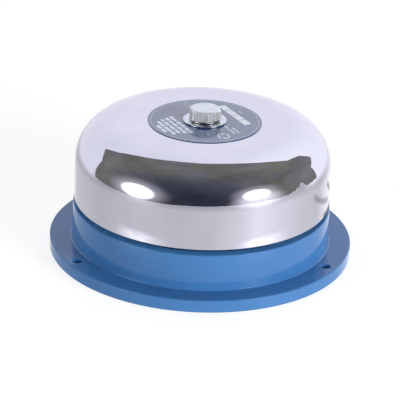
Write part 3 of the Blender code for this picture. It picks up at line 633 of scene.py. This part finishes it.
def hexagon(flats, low, high, turn):
    """A hexagonal prism, one corner at that turn, with its upright edges rounded."""
    shape = bmesh.new()
    bmesh.ops.create_cone(
        shape, cap_ends=True, segments=6, radius1=flats / math.sqrt(3),
        radius2=flats / math.sqrt(3), depth=high - low,
    )
    upright = []
    for side in shape.edges:
        a, b = side.verts
        if abs(a.co.z - b.co.z) > 0.5 * (high - low):
            upright.append(side)
    bmesh.ops.bevel(
        shape, geom=upright, offset=HEX_EDGE, segments=4, profile=0.5, affect="EDGES",
    )
    corner = Matrix.Rotation(turn + math.radians(30), 4, "Z")
    return moved(shape, Matrix.Translation((0, 0, (low + high) / 2)) @ corner)


def chamfer_cone(flats, low, high, both=False):
    """The cone that breaks a hexagon's corners."""
    top_r, reach = flats * 0.47, flats * 0.75
    rise = (reach - top_r) * math.tan(math.radians(30))
    profile = [(0.0, high)]
    profile += arc(top_r - 0.3 * MM, high - 0.3 * MM, 0.3 * MM, 90, 60, 3)
    profile += [(reach, high - rise)]
    if both:
        profile += [(reach, low + rise), (top_r, low), (0.0, low)]
    else:
        profile += [(reach, low), (0.0, low)]
    return lathe(profile, 144, closed=False)


def make_bolt(material):
    low, high = high_of("lock_washer").z + 0.15 * MM, high_of("gong_bolt").z
    head = to_mesh("hex_head", hexagon(BOLT_FLATS, low, high, math.radians(BOLT_TURN)))
    head = carve(head, [chamfer_cone(BOLT_FLATS, low, high)], "INTERSECT")
    shank_low = low_of("gong_bolt").z
    profile = [(0.0, low + MM), (BOLT_R, low + MM)]
    z = low - MM
    while z > shank_low + 2.5 * MM:  # a thread's shallow ridges
        profile += [(BOLT_R, z), (THREAD_ROOT_R, z - 0.5 * MM)]
        z -= 1.0 * MM
    profile += [(THREAD_ROOT_R, shank_low + MM), (4.1 * MM, shank_low), (0.0, shank_low)]
    shank = lathe(profile, 48, closed=False)
    whole = bmesh.new()
    whole.from_mesh(head)
    whole.from_mesh(to_mesh("shank", shank))
    mesh = to_mesh("hex_bolt", whole)
    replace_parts(finish_mesh("hex_bolt", mesh, material, sharp=25.0), "gong_bolt")


def make_post_nut(material):
    low, high = low_of("post_nut").z, high_of("post_nut").z
    nut = to_mesh("nut", hexagon(NUT_FLATS, low, high, 0.0))
    bore = [(0.0, low - MM), (STUD_BORE_R, low - MM), (STUD_BORE_R, high + MM), (0.0, high + MM)]
    nut = carve(nut, [chamfer_cone(NUT_FLATS, low, high, both=True)], "INTERSECT")
    nut = carve(nut, [lathe(bore, 64, closed=False)])
    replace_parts(finish_mesh("back_nut", nut, material, sharp=25.0), "post_nut")
    low, high = low_of("post_washer").z, high_of("post_washer").z
    disc = ring(STUD_BORE_R, radius_of("post_washer"), low, high, 0.2 * MM)
    piece = finish_mesh("back_washer", to_mesh("back_washer", disc), material)
    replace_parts(piece, "post_washer")


def make_grommet(material):
    """The wire entry's rubber ring, with rounded lips."""
    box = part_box("cable_grommet")
    low, high = Vector(box[0]), Vector(box[1])
    centre = (low + high) / 2
    lip = (high.x - low.x) / 2
    t = 1.9 * MM
    profile = [(3.6 * MM, low.z + 0.5 * MM)]
    profile += arc(lip - t / 2, low.z + t / 2, t / 2, -90, 90, 10)
    profile += [(6.7 * MM, low.z + t), (6.7 * MM, high.z - t)]
    profile += arc(lip - t / 2, high.z - t / 2, t / 2, -90, 90, 10)
    profile += [(4.1 * MM, high.z), (3.6 * MM, high.z - 0.5 * MM)]
    shape = moved(lathe(profile, 72), Matrix.Translation((centre.x, centre.y, 0)))
    mesh = to_mesh("wire_grommet", shape)
    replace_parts(finish_mesh("wire_grommet", mesh, material), "cable_grommet")


# ---------------------------------------------------------------- label
LABEL_TOP = high_of("label_disc").z
LABEL_R = radius_of("label_disc")
PRINT_TURN = math.radians(-63.0)  # direction in which the printed lines run
INK_T = 0.02 * MM
NAME_BARS = (-16.5, -8.4, -0.3, 7.8)  # where the four bars start
NAME_BAR_W, NAME_BAR_H = 7.4, 4.5


def printed(start, end, across, height):
    """One flat mark of ink, given along and across the printed lines."""
    mark = slab(
        (start, across - height / 2, LABEL_TOP - INK_T),
        (end, across + height / 2, LABEL_TOP + INK_T),
    )
    return moved(mark, Matrix.Rotation(PRINT_TURN, 4, "Z"))


def printed_line(dice, start, end, across, height, block, gap):
    """A row of plain blocks in groups, where the real label has a line of text."""
    marks = []
    along = start
    while along < end:
        for _ in range(dice.randint(3, 7)):
            width = block * dice.uniform(0.6, 1.1)
            if along + width > end:
                break
            tall = height * dice.choice((0.75, 0.9, 1.0))
            marks.append(printed(along, along + width, across, tall))
            along += width + gap
        along += block * 0.9
    return marks


def make_label(film, ink, faint):
    hole = 6.0 * MM
    low = low_of("label_disc").z
    disc = ring(hole, LABEL_R, low, LABEL_TOP, 0.04 * MM, 192)
    piece = finish_mesh("label_sheet", to_mesh("label_sheet", disc), film)
    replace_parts(piece, "label_disc")

    dice = random.Random(5)
    strong = []
    rows = ((-15.6, -13.5, 14.3), (-19.0, -12.5, 13.5), (-22.4, -11.5, 13.0),
            (-25.7, -9.5, 12.0), (-28.8, -4.5, 7.0))
    for across, start, end in rows:
        strong += printed_line(
            dice, start * MM, end * MM, across * MM, 2.3 * MM, 1.05 * MM, 0.20 * MM,
        )
    # Four equal bars where the real label has its name: nothing of the name's outline is kept.
    for start in NAME_BARS:
        end = start + NAME_BAR_W
        strong.append(printed(start * MM, end * MM, 20.2 * MM, NAME_BAR_H * MM))
    strong += printed_line(dice, 12.0 * MM, 26.0 * MM, 6.6 * MM, 1.2 * MM, 0.9 * MM, 0.3 * MM)
    strong += printed_line(dice, 16.5 * MM, 26.0 * MM, 9.4 * MM, 1.2 * MM, 0.9 * MM, 0.3 * MM)
    # One plain outline where the real label has a mark. A square in it would be a safety symbol.
    for start, end, across, height in (
        (21.6, 28.4, 1.6, 0.8), (21.6, 28.4, -4.2, 0.8), (21.6, 22.4, -1.3, 6.6),
        (27.6, 28.4, -1.3, 6.6),
    ):
        strong.append(printed(start * MM, end * MM, across * MM, height * MM))
    mesh = to_mesh("label_marks", *strong)
    finish_mesh("label_marks", mesh, ink, weigh=False)

    pale = []
    for across, start, end in ((3.2, -30.0, -19.5), (0.4, -30.5, -16.5), (-2.4, -30.0, -15.0),
                               (-5.2, -28.5, -15.5)):
        pale += printed_line(
            dice, start * MM, end * MM, across * MM, 1.0 * MM, 0.8 * MM, 0.35 * MM,
        )
    pale += printed_line(dice, -5.0 * MM, 0.5 * MM, 25.6 * MM, 1.6 * MM, 0.9 * MM, 0.3 * MM)
    pale.append(ring(LABEL_R - 2.05 * MM, LABEL_R - 1.6 * MM, LABEL_TOP - INK_T,
                     LABEL_TOP + INK_T, 0.01 * MM, 192))
    mesh = to_mesh("label_faint_marks", *pale)
    finish_mesh("label_faint_marks", mesh, faint, weigh=False)


# ---------------------------------------------------------------- inside
def finer(material, nodes, bevel=0.0):
    """Carried-over CAD nodes: their material, softened edges and flat faces."""
    for name in nodes:
        node = NODES[name]
        node.data.materials.clear()
        node.data.materials.append(material)
        if bevel:
            rounding = node.modifiers.new("soft_edges", "BEVEL")
            rounding.width = bevel
            rounding.segments = 2
            rounding.limit_method = "ANGLE"
            rounding.angle_limit = math.radians(40)
            rounding.harden_normals = False
        weights = node.modifiers.new("flat_faces", "WEIGHTED_NORMAL")
        weights.keep_sharp = True


def make_spring(material):
    """The return spring's round wire, which the striker's collar presses together."""
    low, high = low_of("return_spring"), high_of("return_spring")
    wire_r = 0.3 * MM
    mean_r = (high.y - low.y) / 2 - wire_r
    axis_z = (low.z + high.z) / 2
    turns, count, sides = 4, 240, 14

    def middle(share):
        turn = 2 * math.pi * turns * share
        along = share - math.sin(2 * math.pi * share) / (2 * math.pi) * 0.7
        x = low.x + wire_r + (high.x - low.x - 2 * wire_r) * along
        return Vector((x, mean_r * math.cos(turn), axis_z + mean_r * math.sin(turn)))

    shape = bmesh.new()
    rings = []
    for i in range(count + 1):
        here = middle(i / count)
        ahead = (middle((i + 0.1) / count) - middle((i - 0.1) / count)).normalized()
        outward = Vector((0, here.y, here.z - axis_z)).normalized()
        across = ahead.cross(outward).normalized()
        around = []
        for j in range(sides):
            turn = 2 * math.pi * j / sides
            offset = outward * math.cos(turn) + across * math.sin(turn)
            around.append(shape.verts.new(here + offset * wire_r))
        rings.append(around)
    for before, after in zip(rings, rings[1:]):
        for j in range(sides):
            k = (j + 1) % sides
            shape.faces.new((before[j], before[k], after[k], after[j]))
    shape.faces.new(rings[0])
    shape.faces.new(rings[-1])
    bmesh.ops.recalc_face_normals(shape, faces=shape.faces)
    mesh = to_mesh("return_coil", shape)
    piece = finish_mesh("return_coil", mesh, material, sharp=60.0)
    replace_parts(piece, "return_spring")
    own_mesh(piece)


# ---------------------------------------------------------------- stage
CAMERA_TURN = -2.4  # degrees from looking straight along +Y
CAMERA_RISE = 24.13
CAMERA_ROLL = 2.338
CAMERA_REACH = 1.2962
CAMERA_AIM = Vector((-0.885, 0.037, 29.16)) * MM
TABLE_Z = low_of("base_housing").z + 0.1 * MM
ROOM_REACH, CANOPY_REACH, GLOW_REACH = 3.0, 2.8, 2.6  # each card is in front of the last
LAMP_REACH = 2.2
LAMP_WIDTH = 1.0
GLOW_SPREAD = 2.6  # how far past its face a lamp's glow is painted


def heading(azimuth, elevation):
    """Unit vector: azimuth is from the camera's side of the bell, to its right."""
    turn = math.radians(CAMERA_TURN)
    towards = Vector((math.sin(turn), -math.cos(turn), 0.0))
    right = Vector((math.cos(turn), math.sin(turn), 0.0))
    a, e = math.radians(azimuth), math.radians(elevation)
    level = towards * math.cos(a) + right * math.sin(a)
    return level * math.cos(e) + Vector((0, 0, math.sin(e)))


def make_camera():
    back = heading(0.0, CAMERA_RISE)
    turn, roll = math.radians(CAMERA_TURN), math.radians(CAMERA_ROLL)
    right = Vector((math.cos(turn), math.sin(turn), 0.0))
    up = back.cross(right)
    across = right * math.cos(roll) + up * math.sin(roll)
    upward = up * math.cos(roll) - right * math.sin(roll)
    lens = bpy.data.cameras.new("camera")
    lens.sensor_width = 36.0
    lens.lens = 198.0
    lens.clip_start = 0.05
    lens.clip_end = 50.0
    camera = bpy.data.objects.new("camera", lens)
    bpy.context.scene.collection.objects.link(camera)
    turned = Matrix((across, upward, back)).transposed().to_4x4()
    camera.matrix_world = Matrix.Translation(CAMERA_AIM + back * CAMERA_REACH) @ turned
    bpy.context.scene.camera = camera


def smooth(low, high, value):
    share = min(max((value - low) / (high - low), 0.0), 1.0)
    return share * share * (3 - 2 * share)


def between(points, value):
    """Straight lines through (value, result) points."""
    if value <= points[0][0]:
        return points[0][1]
    for (x0, y0), (x1, y1) in zip(points, points[1:]):
        if value <= x1:
            return y0 + (y1 - y0) * (value - x0) / (x1 - x0)
    return points[-1][1]


def tinted(strength, tint, cover=1.0):
    """Colour and cover of one point of a card."""
    return [strength * channel for channel in tint] + [cover]


def room_light(azimuth, elevation):
    """White walls round the bell and a white table under it."""
    wall = between(
        ((-180, 0.98), (-140, 0.92), (-112, 0.98), (-60, 1.0), (60, 1.0), (118, 1.16),
         (140, 1.14), (180, 0.98)), azimuth)
    table = between(
        ((-180, 1.15), (-150, 0.70), (-120, 0.68), (-98, 0.62), (-60, 0.72), (-20, 0.68),
         (10, 0.72), (35, 0.88), (52, 1.13), (70, 0.98), (98, 0.82), (125, 0.72), (150, 1.12),
         (180, 1.18)), azimuth)
    table *= between(((-90, 1.0), (-20, 1.0), (-11, 0.80), (-7, 0.72)), elevation)
    share = smooth(-14.0, -4.0, elevation) * smooth(95.0, 112.0, abs(azimuth))
    strength = table + (wall - table) * share
    return tinted(strength, (0.955, 0.950, 0.965 + 0.055 * share))


def canopy_light(azimuth, elevation):
    """The dark side of the room, above and behind the camera."""
    aim = heading(azimuth, elevation).dot(heading(-8.0, 6.0))
    strength = between(
        ((-0.5, 0.195), (0.0, 0.185), (0.45, 0.135), (0.8, 0.070), (1.0, 0.034)), aim)
    spot = heading(azimuth, elevation) * 2.2
    strength *= 1.0 + 0.30 * noise.noise(spot) + 0.14 * noise.noise(spot * 3.1)
    blue = smooth(0.2, 0.95, aim)
    olive = (1.0 - blue) * smooth(0.0, 0.4, noise.noise(spot * 1.4) + 0.25)
    green = 1.0 - 0.06 * blue + 0.03 * olive
    return tinted(strength, (1.0 - 0.10 * blue, green, 0.99 + 0.34 * blue - 0.12 * olive))


def glow_material(name, seen_through):
    """Emission painted on the card's own points, over what shows through them."""
    made = bpy.data.materials.new(name)
    made.use_nodes = True
    tree = made.node_tree
    tree.nodes.clear()
    paint = tree.nodes.new("ShaderNodeAttribute")
    paint.attribute_name = "glow"
    light = tree.nodes.new("ShaderNodeEmission")
    out = tree.nodes.new("ShaderNodeOutputMaterial")
    tree.links.new(paint.outputs["Color"], light.inputs["Color"])
    surface = light.outputs["Emission"]
    if seen_through:
        clear = tree.nodes.new("ShaderNodeBsdfTransparent")
        both = tree.nodes.new("ShaderNodeAddShader")
        share = tree.nodes.new("ShaderNodeInvert")
        tree.links.new(paint.outputs["Alpha"], share.inputs["Color"])
        tree.links.new(share.outputs["Color"], clear.inputs["Color"])
        tree.links.new(surface, both.inputs[0])
        tree.links.new(clear.outputs["BSDF"], both.inputs[1])
        surface = both.outputs["Shader"]
    tree.links.new(surface, out.inputs["Surface"])
    made.cycles.emission_sampling = "NONE"
    return made


def at_reach(reach):
    """Places for (azimuth, elevation) on a sphere round the bell."""
    return lambda azimuth, elevation: heading(azimuth, elevation) * reach


def on_table(azimuth, radius):
    """A place on the table, in degrees and millimetres from the bell's axis."""
    return heading(azimuth, 0.0) * radius * MM + Vector((0, 0, TABLE_Z))


def card(name, rows, place, light, whole=True):
    """A reflector from rows of two coordinates; light gives its colour and cover.

    The bell's matt surfaces see only whole cards, not the thin ones that add detail."""
    mesh = bpy.data.meshes.new(name)
    points = [p for row in rows for p in row]
    places = [place(a, b) for a, b in points]
    width = len(rows[0])
    faces = []
    for i in range(len(rows) - 1):
        for j in range(width - 1):
            k = i * width + j
            faces.append((k, k + 1, k + width + 1, k + width))
    mesh.from_pydata(places, [], faces)
    paint = mesh.attributes.new("glow", "FLOAT_COLOR", "POINT")
    for at, (a, b) in enumerate(points):
        paint.data[at].color = light(a, b)
    mesh.materials.append(glow_material(name, not whole))
    piece = bpy.data.objects.new(name, mesh)
    bpy.context.scene.collection.objects.link(piece)
    piece.visible_camera = False
    piece.visible_shadow = False
    piece.visible_transmission = False
    piece.visible_diffuse = whole


def grid(across, along):
    return [[(a, b) for a in across] for b in along]


def steps(low, high, count):
    return [low + (high - low) * i / (count - 1) for i in range(count)]


def canopy_rows():
    """The dark canopy's outline: an edge near the table in front, uneven sides,
    and a far edge high above the back."""
    floor_edge = ((-106, -6.5), (-60, -7.5), (-35, -7.0), (-10, -4.0), (42, -1.5), (74, -3.5),
                  (81, -3.3), (84, -1.0), (87, -2.0), (89, 3.0), (92, 0.5), (94, 7.5), (97, 6.0),
                  (99, 0.5), (101, -3.5), (117, -4.5))
    left = ((-8, 105), (15, 107), (22, 109), (27, 115), (31, 122), (33, 128), (45, 127),
            (52, 132), (59, 140), (62.5, 150), (66, 180), (90, 180))
    right = ((-8, 117), (15, 116), (17, 120), (22, 128), (31, 129), (36, 131), (42, 127),
             (45, 124), (52, 128), (59, 137), (63, 150), (66, 180), (90, 180))
    rows = []
    for height in steps(0.0, 1.0, 150):
        row = []
        for across in steps(-1.0, 1.0, 180):
            nominal = across * (117 if across > 0 else 106)
            uneven = 0.9 * noise.noise(Vector((nominal / 3.0, 4.1, 0)))
            edge = between(floor_edge, nominal) + uneven
            elevation = edge + (90 - edge) * height
            side = between(right if across > 0 else left, elevation)
            row.append((across * side, min(elevation, 89.9)))
        rows.append(row)
    return rows


def softbox(name, azimuth, elevation, half_w, half_h, peak, halo):
    """A lamp's bright face with the glow round it, seen only in reflections."""
    def light(a, e):
        reach = math.hypot((a - azimuth) / half_w, (e - elevation) / half_h)
        core = 1.0 - smooth(0.75, 1.35, reach)
        veil = (1.0 - smooth(0.6, 2.6, reach)) * halo
        return tinted(peak * core + veil, (1.0, 0.99, 1.0), 0.0)

    wide, tall = GLOW_SPREAD * half_w, GLOW_SPREAD * half_h
    azimuths = steps(azimuth - wide, azimuth + wide, 60)
    elevations = steps(elevation - tall, elevation + tall, 60)
    card(name, grid(azimuths, elevations), at_reach(GLOW_REACH), light, whole=False)


def rim_light(name, first, middle, last, peak):
    """Light on the table just outside the base, seen in the gong's lower wall."""
    def light(azimuth, radius):
        side = smooth(first if azimuth < middle else last, middle, azimuth)
        depth = smooth(131.0, 138.0, radius) * smooth(154.0, 145.0, radius)
        rough = 1.0 + 0.5 * noise.noise(Vector((azimuth / 7.0, radius / 4.0, 1.7)))
        return tinted(peak * side * depth * rough, (1.0, 1.0, 1.0), 0.0)

    rows = grid(steps(first, last, 60), steps(128.0, 156.0, 40))
    card(name, rows, on_table, light, whole=False)


def dark_streak(name, points, half_width, cover):
    """A soft dark stroke on the table along those (azimuth, radius) points."""
    path = [on_table(azimuth, radius) for azimuth, radius in points]

    def place(along, across):
        i = min(int(along), len(path) - 2)
        here = path[i].lerp(path[i + 1], along - i)
        before, after = path[max(i - 1, 0)], path[min(i + 2, len(path) - 1)]
        ahead = (path[i + 1] - before).lerp(after - path[i], along - i).normalized()
        return here + Vector((ahead.y, -ahead.x, 0)) * across * half_width * MM

    def light(along, across):
        end = len(path) - 1
        ends = smooth(0.0, 0.7, min(along, end - along))
        veil = cover * (1.0 - smooth(0.2, 1.0, abs(across))) * ends
        return tinted(0.13 * veil, (1.0, 0.95, 1.35), veil)

    rows = grid(steps(-1.0, 1.0, 9), steps(0.0, len(path) - 1.0, 12 * (len(path) - 1) + 1))
    card(name, [[(b, a) for a, b in row] for row in rows], place, light, whole=False)


def area_lamp(name, azimuth, elevation, watts, only=()):
    """A lamp as the matt surfaces see it, for all pieces or only for those named."""
    lamp = bpy.data.lights.new(name, "AREA")
    lamp.shape = "DISK"
    lamp.size = LAMP_WIDTH
    lamp.energy = watts
    piece = bpy.data.objects.new(name, lamp)
    bpy.context.scene.collection.objects.link(piece)
    aim = heading(azimuth, elevation)
    piece.location = aim * LAMP_REACH
    piece.rotation_mode = "QUATERNION"
    piece.rotation_quaternion = aim.to_track_quat("Z", "Y")
    piece.visible_glossy = False
    piece.visible_camera = False
    if only:
        lit = bpy.data.collections.new(name + "_lights")
        for lit_piece in only:
            lit.objects.link(bpy.data.objects[lit_piece])
        piece.light_linking.receiver_collection = lit


def make_floor():
    """A pale plain floor with a faint contact shadow, which can't be seen from below."""
    mesh = bpy.data.meshes.new("floor")
    half = 9.0
    mesh.from_pydata(
        [(-half, -half, 0), (half, -half, 0), (half, half, 0), (-half, half, 0)], [], [(0, 1, 2, 3)],
    )
    made = bpy.data.materials.new("floor")
    made.use_nodes = True
    tree = made.node_tree
    tree.nodes.clear()
    matt = tree.nodes.new("ShaderNodeBsdfDiffuse")
    matt.inputs["Color"].default_value = (0.34, 0.34, 0.34, 1.0)
    light = tree.nodes.new("ShaderNodeEmission")
    light.inputs["Color"].default_value = (1.0, 1.0, 1.0, 1.0)
    light.inputs["Strength"].default_value = 0.80
    both = tree.nodes.new("ShaderNodeAddShader")
    clear = tree.nodes.new("ShaderNodeBsdfTransparent")
    side = tree.nodes.new("ShaderNodeNewGeometry")
    mix = tree.nodes.new("ShaderNodeMixShader")
    out = tree.nodes.new("ShaderNodeOutputMaterial")
    tree.links.new(matt.outputs["BSDF"], both.inputs[0])
    tree.links.new(light.outputs["Emission"], both.inputs[1])
    tree.links.new(side.outputs["Backfacing"], mix.inputs["Fac"])
    tree.links.new(both.outputs["Shader"], mix.inputs[1])
    tree.links.new(clear.outputs["BSDF"], mix.inputs[2])
    tree.links.new(mix.outputs["Shader"], out.inputs["Surface"])
    mesh.materials.append(made)
    piece = bpy.data.objects.new("floor", mesh)
    bpy.context.scene.collection.objects.link(piece)
    piece.location.z = low_of("base_housing").z - 0.1 * MM
    piece.visible_diffuse = False
    piece.visible_glossy = False
    piece.visible_shadow = False


def make_stage():
    scene = bpy.context.scene
    scene.view_settings.view_transform = "Standard"
    world = bpy.data.worlds.new("white")
    world.use_nodes = True
    background = world.node_tree.nodes["Background"]
    background.inputs["Color"].default_value = (1.0, 1.0, 1.0, 1.0)
    background.inputs["Strength"].default_value = 1.05
    world.cycles_visibility.diffuse = False
    world.cycles_visibility.glossy = False
    scene.world = world
    make_floor()
    all_round = grid(steps(-180, 180, 121), steps(-89.9, 89.9, 91))
    card("room", all_round, at_reach(ROOM_REACH), room_light)
    card("canopy", canopy_rows(), at_reach(CANOPY_REACH), canopy_light)
    softbox("lamp_glow_left", -57.0, 8.0, 13.5, 12.5, 3.0, 0.50)
    softbox("lamp_glow_right", 49.0, 16.5, 11.0, 9.5, 3.0, 0.50)
    softbox("lamp_spill_right", 50.0, 1.0, 12.0, 8.0, 0.0, 0.75)
    rim_light("rim_light_left", -64.0, -43.0, -16.0, 0.50)
    rim_light("rim_light_right", 20.0, 40.0, 68.0, 0.48)
    low_path = ((104, 119), (112, 115), (119, 112), (127, 110), (135, 110))
    middle_path = ((94, 172), (104, 151), (110, 141), (117, 133), (126, 124))
    high_path = ((120, 160), (126, 148), (129, 139), (132, 127))
    dark_streak("streak_low", low_path, 6.0, 0.85)
    dark_streak("streak_middle", middle_path, 7.5, 0.5)
    dark_streak("streak_high", high_path, 7.5, 0.6)
    area_lamp("lamp_left", -54.0, 12.0, 20.0)
    area_lamp("lamp_right", 48.0, 14.0, 48.0)
    area_lamp(
        "lamp_label", 40.0, 42.0, 13.0,
        only=("label_sheet", "label_marks", "label_faint_marks", "hex_bolt"),
    )


# ---------------------------------------------------------------- build
make_camera()
ZINC = zinc_steel()
RUBBER = black_rubber()
NYLON = white_nylon()
IRON = soft_iron()
BRASS = brass()
BLACK = black_plastic()
RED = red_insulation()

make_base(blue_gloss())
make_gong(mirror_chrome())
make_washers(bright_washer(), ZINC)
make_bolt(bolt_chrome())
make_label(
    label_film(),
    label_ink("label_ink", (0.80, 0.86, 0.96), (0.66, 0.73, 0.88)),
    label_ink("label_faint_ink", (0.40, 0.47, 0.62), (0.28, 0.35, 0.50)),
)
make_post_nut(ZINC)
make_grommet(RUBBER)

finer(ZINC, ["solenoid_yoke", "guide_bracket"], 0.25 * MM)
finer(ZINC, ["centre_post", "rod_collar", "yoke_screw_1", "yoke_screw_2", "guide_bracket_screw",
             "terminal_block_screw_1", "terminal_block_screw_2", "terminal_screw_1",
             "terminal_screw_2", "terminal_screw_3", "terminal_screw_4"])
finer(IRON, ["pole_piece", "plunger"])
finer(BRASS, ["terminal_clamp_1", "terminal_clamp_2"], 0.2 * MM)
finer(BRASS, ["push_rod"])
finer(RUBBER, ["gong_seat_washer", "rear_buffer"])
finer(NYLON, ["bobbin", "guide_bush", "striker_head"])
finer(BLACK, ["terminal_block"], 0.3 * MM)
finer(BLACK, ["rectifier_diode", "lead_terminal_to_coil"])
finer(enamelled_copper(), ["coil_winding"])
finer(coil_tape(), ["coil_tape"])
finer(RED, ["lead_terminal_to_diode", "lead_diode_to_coil"])
make_spring(spring_steel())

make_stage()
